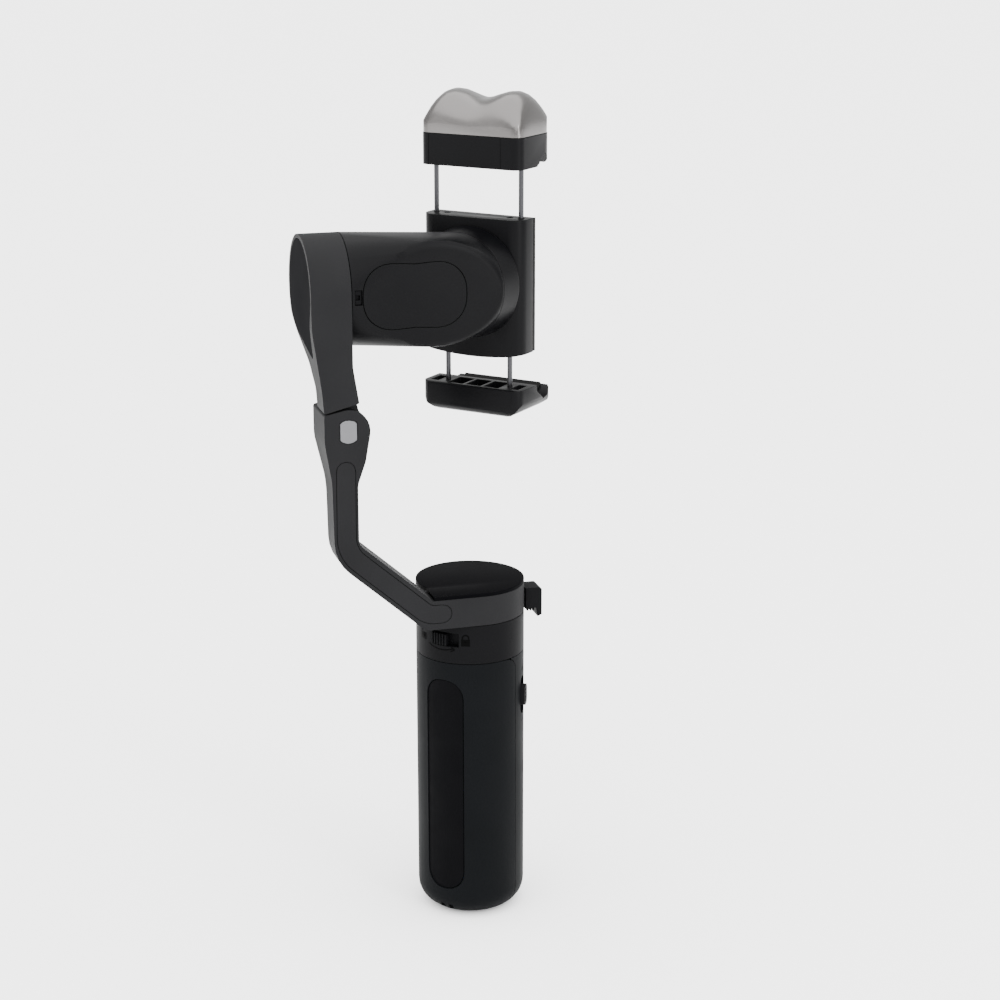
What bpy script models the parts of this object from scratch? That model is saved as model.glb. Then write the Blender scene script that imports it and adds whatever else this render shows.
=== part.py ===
"""Folding three-axis phone gimbal, open and level, with its phone holder spread.

Lengths are millimetres here and become metres where a mesh is made. The origin is the centre of the
handle's base, +Z up the handle and pan axis, -Y the side of the control panel and of the phone's screen.
The arms lie in a plane turned 45 degrees: p runs outwards along the tilt axis, q towards the arms' flat face.
"""

from math import acos, atan2, cos, degrees, hypot, pi, radians, sin, tan

import bmesh
import bpy
from mathutils import Matrix, Vector

MM = 0.001
GAP = 0.25                     # between pieces that touch on the real object

HANDLE_R = 19.8                # the handle is round all the way up
WALL = 2.0
BASE_ROUND = 8.6               # radius of the round edge at the handle's foot
GRIP_TOP = 100.5               # seam between the grip and the collar
PAN_SEAM = 115.1               # seam between the collar and the turning pan housing
PAN_TOP = 127.3
SPLIT_DEG = 86.0               # half the rear shell's spread round the handle

ARM_FACE = 19.8                # q of the flat face that both arms share
ARM_BACK = 8.5                 # q of the lower arm's back
HINGE = (48.3, 190.1)          # p and z of the folding hinge's pin
HINGE_BACK = 0.5
KNUCKLE_R = 7.7
TONGUE_R = 5.9
TONGUE_Q = (8.6, 16.5)
HEAD_Z = 236.3                 # height at which the tilt and roll axes cross the pan axis
TILT_R = 19.6
TILT_SEAM = 46.2
ARM_OUTER = 60.3
ROLL_R = 18.8
ROLL_SEAM = 8.2
SHAFT_R = 2.0

BLOCK_HALF = 20.0
BLOCK_Y = (-11.0, -1.0)
BLOCK_Z = (HEAD_Z - 25.0, HEAD_Z + 22.6)
ROD_R = 0.9
ROD_Y = -7.2
UPPER_ROD_X = 17.0
LOWER_ROD_X = 12.6
JAW_GRIP = 40.0                # jaw faces above and below the roll axis, holding a 78 mm wide phone
PINION_TEETH = 14
TOOTH_MODULE = 0.6


# ---------------------------------------------------------------- scene, materials and pivots

def clear_scene():
    for obj in list(bpy.data.objects):
        bpy.data.objects.remove(obj, do_unlink=True)


def new_collection(name):
    made = bpy.data.collections.new(name)
    bpy.context.scene.collection.children.link(made)
    return made


def material(name, rgb, roughness, metallic=0.0):
    made = bpy.data.materials.new(name)
    made.use_nodes = True
    shader = made.node_tree.nodes["Principled BSDF"]
    shader.inputs["Base Color"].default_value = (*rgb, 1.0)
    shader.inputs["Roughness"].default_value = roughness
    shader.inputs["Metallic"].default_value = metallic
    made.diffuse_color = (*rgb, 1.0)
    return made


clear_scene()
PARTS = new_collection("phone_gimbal")
CUTTERS = new_collection("cutters")

GRIP_PLASTIC = material("grip_plastic", (0.022, 0.023, 0.026), 0.62)
ARM_PLASTIC = material("arm_plastic", (0.030, 0.030, 0.031), 0.50)
BLACK_PLASTIC = material("black_plastic", (0.010, 0.010, 0.011), 0.38)
RUBBER = material("rubber", (0.014, 0.014, 0.014), 0.85)
SATIN_METAL = material("satin_metal", (0.42, 0.42, 0.41), 0.32, 1.0)
STEEL = material("steel", (0.30, 0.30, 0.31), 0.28, 1.0)
BRASS = material("brass", (0.55, 0.42, 0.20), 0.35, 1.0)
BOARD_GREEN = material("circuit_board", (0.010, 0.060, 0.030), 0.50)
COPPER = material("copper", (0.45, 0.20, 0.10), 0.40, 1.0)
CELL_WRAP = material("cell_wrap", (0.030, 0.070, 0.200), 0.45)
RECORD_RED = material("record_red", (0.450, 0.020, 0.015), 0.40)


class Pivot:
    """An empty on a joint's axis, and the place in the drawing that it stands for."""

    def __init__(self, name, parent, origin, turn_deg=0.0):
        self.origin = Vector(origin)
        self.empty = bpy.data.objects.new(name, None)
        PARTS.objects.link(self.empty)
        self.empty.rotation_euler.z = radians(turn_deg)
        offset = self.origin
        if parent:
            self.empty.parent = parent.empty
            offset = self.origin - parent.origin
        self.empty.location = offset * MM


HANDLE = Pivot("handle_pivot", None, (0, 0, 0))
PAN = Pivot("pan_pivot", HANDLE, (0, 0, PAN_SEAM), 45.0)
FOLD = Pivot("fold_pivot", PAN, (HINGE[0], 0, HINGE[1]))
TILT = Pivot("tilt_pivot", FOLD, (0, 0, HEAD_Z))
ROLL = Pivot("roll_pivot", TILT, (0, 0, HEAD_Z), -45.0)
UPPER_SLIDE = Pivot("upper_jaw_pivot", ROLL, (0, 0, HEAD_Z))
LOWER_SLIDE = Pivot("lower_jaw_pivot", ROLL, (0, 0, HEAD_Z))
PINION_SPIN = Pivot("pinion_pivot", ROLL, (0, 0, HEAD_Z))


# ---------------------------------------------------------------- outlines

def arc(cx, cy, r, start_deg, end_deg, steps):
    return [
        (cx + r * cos(radians(start_deg + (end_deg - start_deg) * i / steps)),
         cy + r * sin(radians(start_deg + (end_deg - start_deg) * i / steps)))
        for i in range(steps + 1)
    ]


def rounded(corners, steps=4):
    """A polygon whose corners (x, y, radius) are rounded; a corner without a radius stays sharp."""
    outline = []
    for i, corner in enumerate(corners):
        here = Vector(corner[:2])
        if len(corner) < 3 or corner[2] <= 0:
            outline.append(tuple(here))
            continue
        before = (Vector(corners[i - 1][:2]) - here).normalized()
        after = (Vector(corners[(i + 1) % len(corners)][:2]) - here).normalized()
        half = before.angle(after) / 2
        radius = corner[2]
        centre = here + (before + after).normalized() * radius / sin(half)
        first = here + before * radius * cos(half) / sin(half)
        last = here + after * radius * cos(half) / sin(half)
        a = atan2(*(first - centre).yx)
        sweep = (atan2(*(last - centre).yx) - a + pi) % (2 * pi) - pi
        outline += arc(*centre, radius, degrees(a), degrees(a + sweep), steps)
    return outline


def rectangle(x0, x1, y0, y1, radius=0.0, steps=4):
    return rounded([(x0, y0, radius), (x1, y0, radius), (x1, y1, radius), (x0, y1, radius)], steps)


def ribbon(path, half_width, steps=6):
    """The outline of a strip with round ends along a path of points."""
    left, right = [], []
    for i, point in enumerate(path):
        ahead = Vector(path[min(i + 1, len(path) - 1)]) - Vector(path[max(i - 1, 0)])
        side = Vector((-ahead.y, ahead.x)).normalized() * half_width
        left.append(tuple(Vector(point) + side))
        right.append(tuple(Vector(point) - side))

    def end(point, inside, turn):
        out = Vector(point) - Vector(inside)
        base = degrees(atan2(out.y, out.x))
        return arc(*point, half_width, base + turn, base - turn, steps)[1:-1]

    return left + end(path[-1], path[-2], 90) + right[::-1] + end(path[0], path[1], 90)


def star(outer, hub, bore, teeth=9):
    """A motor stator: a hub with T-shaped teeth, as (outline, bore outline)."""
    outline = []
    for i in range(teeth):
        middle = 360 * i / teeth
        half = 180 / teeth
        for r, turn in ((hub, -half), (hub, -half * 0.40), (outer - 1.4, -half * 0.24),
                        (outer, -half * 0.82), (outer, half * 0.82), (outer - 1.4, half * 0.24),
                        (hub, half * 0.40)):
            outline.append((r * cos(radians(middle + turn)), r * sin(radians(middle + turn))))
    return outline, arc(0, 0, bore, 0, -360, 24)[:-1]


# ---------------------------------------------------------------- solids

def keep(obj, mat, pivot, collection=None):
    """Files an object, gives it its material and hangs it on its pivot."""
    (collection or (PARTS if mat else CUTTERS)).objects.link(obj)
    if mat:
        obj.data.materials.append(mat)
        obj.data.shade_smooth()
        obj.data.set_sharp_from_angle(angle=radians(32))
    else:
        obj.hide_render = True
        obj.display_type = "WIRE"
    obj.parent = pivot.empty
    obj.location = -pivot.origin * MM
    return obj


def from_bmesh(name, bm, mat, pivot):
    mesh = bpy.data.meshes.new(name)
    bm.to_mesh(mesh)
    bm.free()
    return keep(bpy.data.objects.new(name, mesh), mat, pivot)


def flat_mesh(outlines, half_thickness):
    """A welded mesh from a filled 2D curve; outlines after the first are holes."""
    curve = bpy.data.curves.new("outline", "CURVE")
    curve.dimensions = "2D"
    curve.fill_mode = "BOTH"
    curve.extrude = half_thickness * MM
    for outline in outlines:
        spline = curve.splines.new("POLY")
        spline.points.add(len(outline) - 1)
        for point, (x, y) in zip(spline.points, outline):
            point.co = (x * MM, y * MM, 0, 1)
        spline.use_cyclic_u = True
    holder = bpy.data.objects.new("outline", curve)
    bpy.context.scene.collection.objects.link(holder)
    mesh = bpy.data.meshes.new_from_object(
        holder.evaluated_get(bpy.context.evaluated_depsgraph_get()))
    bpy.data.objects.remove(holder)
    bm = bmesh.new()
    bm.from_mesh(mesh)
    bmesh.ops.remove_doubles(bm, verts=bm.verts, dist=1e-6)
    bmesh.ops.recalc_face_normals(bm, faces=bm.faces)
    bpy.data.meshes.remove(mesh)
    return bm


# Where an outline's x, y and the extrusion go: seen from above, from the front (x, z) or the side (y, z).
TOP = Matrix.Identity(4)
FACE = Matrix(((1, 0, 0, 0), (0, 0, -1, 0), (0, 1, 0, 0), (0, 0, 0, 1)))
SIDE = Matrix(((0, 0, 1, 0), (1, 0, 0, 0), (0, 1, 0, 0), (0, 0, 0, 1)))


def slab(name, outlines, low, high, view, mat, pivot):
    """An outline (or an outline and its holes) extruded from low to high along the view's direction."""
    if not isinstance(outlines[0], list):
        outlines = [outlines]
    bm = flat_mesh(outlines, (high - low) / 2)
    middle = (low + high) / 2 * MM
    if view is FACE:
        middle = -middle
    bmesh.ops.translate(bm, verts=bm.verts, vec=(0, 0, middle))
    bmesh.ops.transform(bm, matrix=view, verts=bm.verts)
    return from_bmesh(name, bm, mat, pivot)


def box(name, x, y, z, mat, pivot):
    """A block between pairs of coordinates."""
    bm = bmesh.new()
    bmesh.ops.create_cube(bm, size=1.0)
    for v in bm.verts:
        v.co = Vector([(lo if c < 0 else hi) * MM for c, (lo, hi) in zip(v.co, (x, y, z))])
    return from_bmesh(name, bm, mat, pivot)


def turned(name, profile, steps, mat, pivot, axis="Z", centre=(0, 0, 0)):
    """A profile of (radius, height), drawn down its outer side, turned about an axis."""
    bm = bmesh.new()
    verts = [bm.verts.new((r * MM, 0, h * MM)) for r, h in profile]
    for a, b in zip(verts, verts[1:]):
        bm.edges.new((a, b))
    if profile[0][0] > 0:
        bm.edges.new((verts[-1], verts[0]))
    obj = from_bmesh(name, bm, mat, pivot)
    screw = obj.modifiers.new("turn", "SCREW")
    screw.steps = screw.render_steps = steps
    screw.use_merge_vertices = True
    screw.merge_threshold = 0.00001
    screw.use_smooth_shade = True
    turn = {"Z": (0, 0, 0), "Y": (-pi / 2, 0, 0), "X": (0, pi / 2, 0)}[axis]
    obj.rotation_euler = turn
    obj.location = (Vector(centre) - pivot.origin) * MM
    return obj


def cylinder(name, r, low, high, steps, mat, pivot, axis="Z", centre=(0, 0, 0)):
    return turned(name, [(0, high), (r, high), (r, low), (0, low)], steps, mat, pivot, axis, centre)


def ring(name, inner, outer, low, high, steps, mat, pivot, axis="Z", centre=(0, 0, 0)):
    profile = [(outer, high), (outer, low), (inner, low), (inner, high)]
    return turned(name, profile, steps, mat, pivot, axis, centre)


def cut(obj, *others, operation="DIFFERENCE"):
    for other in others:
        modifier = obj.modifiers.new(f"{operation.lower()}_{other.name}", "BOOLEAN")
        modifier.operation = operation
        modifier.object = other
    return obj


def join(obj, *others):
    return cut(obj, *others, operation="UNION")


def meet(obj, *others):
    return cut(obj, *others, operation="INTERSECT")


def soften(obj, width, segments=2, angle_deg=35):
    bevel = obj.modifiers.new("edges", "BEVEL")
    bevel.width = width * MM
    bevel.segments = segments
    bevel.limit_method = "ANGLE"
    bevel.angle_limit = radians(angle_deg)
    bevel.use_clamp_overlap = True
    return obj


# ---------------------------------------------------------------- the handle's skin

def skin_point(around, up, depth):
    """A point a depth under the handle's skin: around is arc length from +Y, up follows the round foot."""
    angle = around / HANDLE_R
    r, z = HANDLE_R - depth, up
    if up < BASE_ROUND:
        bend = (BASE_ROUND - up) / BASE_ROUND
        r = HANDLE_R - BASE_ROUND + (BASE_ROUND - depth) * cos(bend)
        z = BASE_ROUND - (BASE_ROUND - depth) * sin(bend)
    return Vector((r * sin(angle), r * cos(angle), z)) * MM


def around(angle_deg):
    return radians(angle_deg) * HANDLE_R


def wrapped(name, outlines, depth, thickness, mat, pivot, step_deg=7.5):
    """A panel drawn flat as (around, up), cut into strips, bent on to the handle and thickened inwards."""
    bm = flat_mesh(outlines, 0)
    low = min(v.co.x for v in bm.verts)
    high = max(v.co.x for v in bm.verts)
    strip = around(step_deg) * MM
    levels = [(BASE_ROUND - i * BASE_ROUND * pi / 2 / 6) * MM for i in range(8)]
    cuts = [((i * strip, 0, 0), (1, 0, 0)) for i in range(int(low / strip) - 1, int(high / strip) + 2)]
    for place, normal in cuts + [((0, level, 0), (0, 1, 0)) for level in levels]:
        geometry = bm.verts[:] + bm.edges[:] + bm.faces[:]
        bmesh.ops.bisect_plane(bm, geom=geometry, dist=1e-7, plane_co=place, plane_no=normal)
    tiles = {}
    for face in bm.faces:
        middle = face.calc_center_median()
        tile = (middle.x // strip, sum(middle.y < level for level in levels))
        tiles.setdefault(tile, []).append(face)
    for faces in tiles.values():
        bmesh.ops.dissolve_faces(bm, faces=faces, use_verts=False)
    straight = [v for v in bm.verts if len(v.link_edges) == 2 and v.calc_edge_angle(0) < 1e-3]
    bmesh.ops.dissolve_verts(bm, verts=straight)
    shell = bmesh.new()
    outer = {v: shell.verts.new(skin_point(v.co.x / MM, v.co.y / MM, depth)) for v in bm.verts}
    inner = {v: shell.verts.new(skin_point(v.co.x / MM, v.co.y / MM, depth + thickness)) for v in bm.verts}
    for face in bm.faces:
        shell.faces.new([outer[v] for v in face.verts])
        shell.faces.new([inner[v] for v in reversed(face.verts)])
    for edge in bm.edges:
        if edge.is_boundary:
            v0, v1 = edge.verts
            shell.faces.new((outer[v0], outer[v1], inner[v1], inner[v0]))
    bm.free()
    bmesh.ops.recalc_face_normals(shell, faces=shell.faces)
    return from_bmesh(name, shell, mat, pivot)


def sector(r0, r1, start_deg, end_deg, steps=6):
    """The outline of part of a ring, with angles measured from +Y towards +X."""
    outer = [(r1 * sin(radians(a)), r1 * cos(radians(a))) for a in spread(start_deg, end_deg, steps)]
    inner = [(r0 * sin(radians(a)), r0 * cos(radians(a))) for a in spread(end_deg, start_deg, steps)]
    return outer + inner


def spread(start, end, steps):
    return [start + (end - start) * i / steps for i in range(steps + 1)]


# ---------------------------------------------------------------- handle

PAD_HALF = 22.6                # degrees
PAD_UP = (11.2, 93.8)
PANEL_MIDDLE = 180.0
PANEL_HALF = 25.5
PANEL_UP = (57.6, 97.0)
JOYSTICK_UP = 86.0
RECORD_UP = 72.0
MODE_UP = 63.0
ZOOM_AT = 254.3                # the zoom slider's place round the handle
ZOOM_UP = 83.4
ZOOM_TRAVEL = 3.0
SIDE_AT = 106.0                # the power button and the charging socket, on the other side
SIDE_BUTTON_UP = 84.0
SOCKET_UP = 64.0
SHELL_TOP = GRIP_TOP - GAP / 2
SHELL_FOOT = -3.4
SPLIT_ROUND = 5.0


def rear_shell():
    edge = around(SPLIT_DEG)
    outline = rounded([(-edge, SHELL_FOOT), (edge, SHELL_FOOT), (edge, SHELL_TOP, SPLIT_ROUND),
                       (-edge, SHELL_TOP, SPLIT_ROUND)], 5)
    pad = rectangle(around(-PAD_HALF), around(PAD_HALF), *PAD_UP, 7.0, 5)
    lanyard = [rectangle(x - 1.0, x + 1.0, 1.2, 4.2, 0.8, 2) for x in (-1.8, 1.8)]
    return wrapped("rear_shell", [outline, pad, *lanyard], 0, WALL, GRIP_PLASTIC, HANDLE)


def grip_pad():
    half = around(PAD_HALF) - GAP
    outline = rectangle(-half, half, PAD_UP[0] + GAP, PAD_UP[1] - GAP, 7.0 - GAP, 5)
    return wrapped("grip_pad", [outline], 0.3, WALL, RUBBER, HANDLE)


def front_shell():
    left = around(SPLIT_DEG) + GAP
    right = around(360) - left
    corner = (around(SPLIT_DEG) - SPLIT_ROUND, SHELL_TOP - SPLIT_ROUND)
    horn = arc(*corner, SPLIT_ROUND + GAP, 0, 62, 4)
    mirrored = [(around(360) - x, y) for x, y in horn]
    outline = [(left, SHELL_FOOT), (right, SHELL_FOOT), *mirrored, (mirrored[-1][0], SHELL_TOP),
               (horn[-1][0], SHELL_TOP), *horn[::-1]]
    middle = around(PANEL_MIDDLE)
    half = around(PANEL_HALF)
    panel = rectangle(middle - half, middle + half, *PANEL_UP, 8.0, 5)
    zoom = rectangle(around(ZOOM_AT) - 2.6, around(ZOOM_AT) + 2.6, ZOOM_UP - 7.3, ZOOM_UP + 7.3, 2.4, 3)
    button = rectangle(around(SIDE_AT) - 2.1, around(SIDE_AT) + 2.1, SIDE_BUTTON_UP - 5.8,
                       SIDE_BUTTON_UP + 5.8, 2.0, 3)
    socket = rectangle(around(SIDE_AT) - 2.1, around(SIDE_AT) + 2.1, SOCKET_UP - 4.9, SOCKET_UP + 4.9,
                       1.8, 3)
    return wrapped("front_shell", [outline, panel, zoom, button, socket], 0, WALL, GRIP_PLASTIC, HANDLE)


def control_panel():
    middle = around(PANEL_MIDDLE)
    half = around(PANEL_HALF) - GAP
    plate = rectangle(middle - half, middle + half, PANEL_UP[0] + GAP, PANEL_UP[1] - GAP, 7.75, 5)
    joystick = arc(middle, JOYSTICK_UP, 6.7, 0, -360, 20)[:-1]
    record = arc(middle, RECORD_UP, 4.35, 0, -360, 16)[:-1]
    mode = rectangle(middle - 4.3, middle + 4.3, MODE_UP - 2.0, MODE_UP + 2.0, 1.9, 3)
    return wrapped("control_panel", [plate, joystick, record, mode], 0.1, 1.5, BLACK_PLASTIC, HANDLE)


def handle_inside():
    """The frame that carries the cell, the board, the tripod thread and the joystick's housing."""
    frame = box("inner_frame", (-12, 12), (-5.0, -3.7), (7.6, 98.2), ARM_PLASTIC, HANDLE)
    foot = ring("frame_foot", 5.2, 13.5, 5.2, 8.2, 32, None, HANDLE)
    head = ring("frame_head", 4.0, 15.5, 97.2, 99.4, 32, None, HANDLE)
    join(frame, foot, head)
    cylinder("battery_cell", 9.1, 12, 77, 32, CELL_WRAP, HANDLE, centre=(0, 5.6, 0))
    box("control_board", (-11.5, 11.5), (-8.6, -7.0), (24, 96), BOARD_GREEN, HANDLE)
    housing = box("joystick_base", (-5.5, 5.5), (-13.6, -8.8), (JOYSTICK_UP - 5.5, JOYSTICK_UP + 5.5),
                  BLACK_PLASTIC, HANDLE)
    soften(housing, 0.8, 1)


def base_and_thread():
    soften(ring("base_cap", 5.3, 10.9, 0, 2.6, 40, BLACK_PLASTIC, HANDLE), 0.4, 1)
    insert = [(4.9, 7.2), (4.9, 2.0), (5.1, 1.6), (5.1, 0.4), (3.2, 0.4), (3.2, 7.2)]
    turned("tripod_insert", insert, 28, BRASS, HANDLE)


def socket_shell():
    """The charging socket: a pressed metal mouth in the handle's side."""
    outer = rectangle(-1.65, 1.65, -4.65, 4.65, 1.6, 3)
    inner = rectangle(-1.25, 1.25, -4.25, 4.25, 1.2, 3)
    shell = slab("usb_port", outer, 13.2, HANDLE_R - 0.4, SIDE, STEEL, HANDLE)
    mouth = slab("usb_mouth", inner, 14.2, HANDLE_R + 2, SIDE, None, HANDLE)
    for piece in (shell, mouth):
        piece.rotation_euler.z = radians(90 - SIDE_AT)
        piece.location.z = SOCKET_UP * MM
    cut(shell, mouth)


def collar():
    floor_top = GRIP_TOP + 1.9
    low = GRIP_TOP + GAP / 2
    high = PAN_SEAM - GAP / 2
    profile = [(HANDLE_R, high), (HANDLE_R, low), (4.3, low), (4.3, 108.5), (6.0, 108.5),
               (6.0, floor_top), (17.6, floor_top), (17.6, high)]
    body = turned("collar", profile, 60, BLACK_PLASTIC, HANDLE)
    window = box("lock_window", (-6.1, 4.6), (14, 22), (106.9, 112.1), None, HANDLE)
    cut(body, window)


def lock_slider():
    """The pan lock: a ribbed knob outside the collar on a curved tongue inside it."""
    knob = []
    ribs = 5
    for i in range(ribs * 2 + 1):
        r = 20.1 if i % 2 else 20.7
        for a in spread(-5.0, 12.5, ribs * 2 + 1)[i:i + 2]:
            knob.append((r * sin(radians(a)), r * cos(radians(a))))
    knob += [(16.9 * sin(radians(a)), 16.9 * cos(radians(a))) for a in spread(12.5, -5.0, 3)]
    slider = slab("lock_slider", knob, 107.4, 111.6, TOP, BLACK_PLASTIC, HANDLE)
    tongue = slab("lock_tongue", sector(15.7, 17.2, -20, 26, 10), 104.0, 113.5, TOP, None, HANDLE)
    join(slider, tongue)


def motor_stator(name, low, high, hub, bore, mat, pivot, view, centre):
    outline, hole = star(13.0, hub, bore)
    piece = slab(name, [outline, hole], low, high, view, mat, pivot)
    piece.location = (Vector(centre) - pivot.origin) * MM
    return piece


def pan_motor():
    motor_stator("pan_stator", 103.4, 110.4, 8.2, 6.25, COPPER, HANDLE, TOP, (0, 0, 0))
    ring("pan_bearing", SHAFT_R + 0.1, 4.15, 103.0, 107.9, 24, STEEL, HANDLE)
    bell = [(15.0, 113.6), (15.0, 103.2), (13.7, 103.2), (13.7, 112.2), (SHAFT_R + 0.1, 112.2),
            (SHAFT_R + 0.1, 113.6)]
    turned("pan_bell", bell, 36, STEEL, PAN)
    cylinder("pan_shaft", SHAFT_R, 101.2, 121.0, 24, STEEL, PAN)


# ---------------------------------------------------------------- controls

def controls():
    """Joystick, buttons and zoom slider, each on a pivot of its own."""
    stick_at = (0, -14.0, JOYSTICK_UP)
    yoke_pivot = Pivot("joystick_pivot", HANDLE, stick_at)
    stick_pivot = Pivot("joystick_side_pivot", yoke_pivot, stick_at)
    ring("joystick_yoke", 2.3, 4.0, 1.4, 2.2, 24, STEEL, yoke_pivot, "Y", stick_at).rotation_euler.x = pi / 2
    cap = [(0, 6.0), (1.6, 6.1), (3.2, 6.6), (4.3, 6.7), (4.8, 6.1), (4.7, 5.0), (4.0, 4.3), (1.5, 3.9),
           (1.5, 0), (0, 0)]
    turned("joystick", cap, 28, RUBBER, stick_pivot, "Y", stick_at).rotation_euler.x = pi / 2
    record_pivot = Pivot("record_pivot", HANDLE, (0, -16.4, RECORD_UP))
    dome = [(0, 4.1), (2.4, 4.0), (3.5, 3.6), (3.8, 3.0), (3.8, 0), (0, 0)]
    turned("record_button", dome, 24, RECORD_RED, record_pivot, "Y",
           (0, -16.4, RECORD_UP)).rotation_euler.x = pi / 2
    mode_pivot = Pivot("mode_pivot", HANDLE, (0, -16.4, MODE_UP))
    mode = slab("mode_button", rectangle(-3.7, 3.7, MODE_UP - 1.7, MODE_UP + 1.7, 1.6, 3), -20.3, -16.4,
                FACE, BLACK_PLASTIC, mode_pivot)
    soften(mode, 0.4, 2, 50)
    side_pivot = Pivot("side_button_pivot", HANDLE, (0, 0, SIDE_BUTTON_UP), 90 - SIDE_AT)
    power = slab("side_button", rectangle(-1.8, 1.8, SIDE_BUTTON_UP - 5.4, SIDE_BUTTON_UP + 5.4, 1.7, 3),
                 16.4, HANDLE_R + 0.5, SIDE, BLACK_PLASTIC, side_pivot)
    soften(power, 0.4, 2, 50)
    zoom_pivot = Pivot("zoom_pivot", HANDLE, (0, 0, ZOOM_UP), 90 - ZOOM_AT)
    knob = slab("zoom_slider", rectangle(-2.2, 2.2, ZOOM_UP - 4.0, ZOOM_UP + 4.0, 1.8, 3), 16.0,
                HANDLE_R + 1.3, SIDE, BLACK_PLASTIC, zoom_pivot)
    soften(knob, 0.5, 2, 50)
    foot = box("zoom_foot", (15.2, 16.6), (-3.6, 3.6), (ZOOM_UP - 6.5, ZOOM_UP + 6.5), None, zoom_pivot)
    join(knob, foot)


# ---------------------------------------------------------------- lower arm

SLOPE = 0.875                  # rise of the sloping part of the lower arm
INLAY_HALF = 3.3


def slope_z(p, offset):
    return 133.6 + SLOPE * (p - 35.0) + offset


def lower_arm_outline():
    """The lower arm seen on its face: housing, slope, elbow and hinge knuckle."""
    foot = PAN_SEAM + GAP / 2
    foot_p = 35.0 + (foot - 133.6 + 6.6) / SLOPE
    outer = [(8, foot), (foot_p, foot, 6), (53.9, slope_z(53.9, -6.6), 15), (54.4, 172.0, 30),
             (56.7, 186.0, 20), (56.7, 196.2, 0.8)]
    inner = [(42.4, 179.2, 6), (45.3, 171.0, 8), (45.3, slope_z(45.3, 6.6), 3.5), (8, slope_z(8, 6.6))]
    return rounded(outer + arc(*HINGE, KNUCKLE_R, 76, 190, 9) + inner)


def housing_outline(corner_p, inset=0.0):
    """The pan housing seen from above: a circle whose front runs straight on into the arm."""
    r = HANDLE_R - inset
    back = ARM_BACK + inset
    start = degrees(atan2(back, (r * r - back * back) ** 0.5))
    return arc(0, 0, r, 90, 360 + start, 44) + [(corner_p, back), (corner_p, r)]


def inlay_path():
    bottom = (15.4, 121.0)
    turn = (20.6, 121.0, 7)
    elbow = (49.7, slope_z(49.7, 0), 12)
    return rounded([bottom, turn, elbow, (49.5, 176.1)], 5)


def pin_head_outline(r, flat):
    """A circle with two flats, as (p, z)."""
    a = degrees(atan2((r * r - flat * flat) ** 0.5, flat))
    p0, z0 = HINGE
    return arc(p0, z0, r, a, 180 - a, 6) + arc(p0, z0, r, 180 + a, 360 - a, 6)


def fork_slot():
    p0, z0 = HINGE
    r = TONGUE_R + 0.3
    outline = [(15, z0 - r * 0.58)] + arc(p0, z0, r, 216, 360, 10) + [(p0 + r, 225), (15, 225)]
    return slab("fork_slot", outline, TONGUE_Q[0] - 0.3, TONGUE_Q[1] + 0.3, FACE, None, PAN)


def lower_arm():
    arm = slab("lower_arm", lower_arm_outline(), HINGE_BACK, ARM_FACE, FACE, ARM_PLASTIC, PAN)
    side = rounded([(ARM_BACK, 105), (25, 105), (25, 210), (HINGE_BACK - 1, 210), (HINGE_BACK - 1, 186, 4),
                    (ARM_BACK, 168, 10)])
    meet(arm, slab("arm_side", side, 0, 70, SIDE, None, PAN))
    house = slab("pan_house", housing_outline(20.2), PAN_SEAM + GAP / 2, PAN_TOP - 1.3, TOP, None, PAN)
    join(arm, house)
    room = cylinder("pan_room", 16.5, PAN_SEAM + 2.1, PAN_TOP, 40, None, PAN)
    bore = cylinder("pan_bore", SHAFT_R + 0.2, 110, 119, 24, None, PAN)
    pin_bore = cylinder("pin_bore", 2.6, 1.4, 18.5, 24, None, PAN, "Y", (HINGE[0], 0, HINGE[1]))
    head = slab("pin_head_seat", pin_head_outline(4.3, 3.15), 17.4, 22, FACE, None, PAN)
    groove = slab("inlay_seat", ribbon(inlay_path(), INLAY_HALF + 0.22), ARM_FACE - 1.0, 22, FACE, None, PAN)
    cut(arm, room, bore, fork_slot(), pin_bore, head, groove)
    slab("arm_inlay", ribbon(inlay_path(), INLAY_HALF), ARM_FACE - 0.8, ARM_FACE - 0.02, FACE, ARM_PLASTIC,
         PAN)
    cover = slab("pan_cover", housing_outline(18.5), PAN_TOP - 1.15, PAN_TOP, TOP, RUBBER, PAN)
    soften(cover, 0.45, 2, 50)


def hinge():
    pin = [(0, 17.2), (2.5, 17.2), (2.5, 1.8), (0, 1.8)]
    turned("hinge_pin", pin, 24, STEEL, PAN, "Y", (HINGE[0], 0, HINGE[1]))
    head = slab("hinge_cap", pin_head_outline(4.15, 2.95), 17.5, ARM_FACE + 0.15, FACE, SATIN_METAL, PAN)
    soften(head, 0.25, 1, 50)


def storage_latch():
    """The hook behind the pan housing that catches the folded phone holder."""
    back = -HANDLE_R - GAP
    face = [(back, 122.2), (-25.6, 122.2), (-26.4, 121.4), (-26.4, 111.6), (-24.8, 110.9), (-24.2, 114.4)]
    for i in range(3):
        at = -23.6 + i * 1.1
        face += [(at, 114.4), (at + 0.15, 113.4), (at + 0.6, 113.4), (at + 0.75, 114.4)]
    slab("storage_latch", face + [(back, 114.4)], -4.0, 4.0, FACE, BLACK_PLASTIC, PAN)


# ---------------------------------------------------------------- upper arm

def upper_arm_face():
    """The upper arm seen on its face, leaning in towards the hinge."""
    return rounded([(TILT_SEAM + 0.1, 257), (TILT_SEAM + 0.1, 212.5, 15), (44.3, 199.9, 0.5),
                    (56.7, 196.75, 0.5), (57.2, 204, 10), (ARM_OUTER, 226, 30), (ARM_OUTER, 257)], 3)


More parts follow.
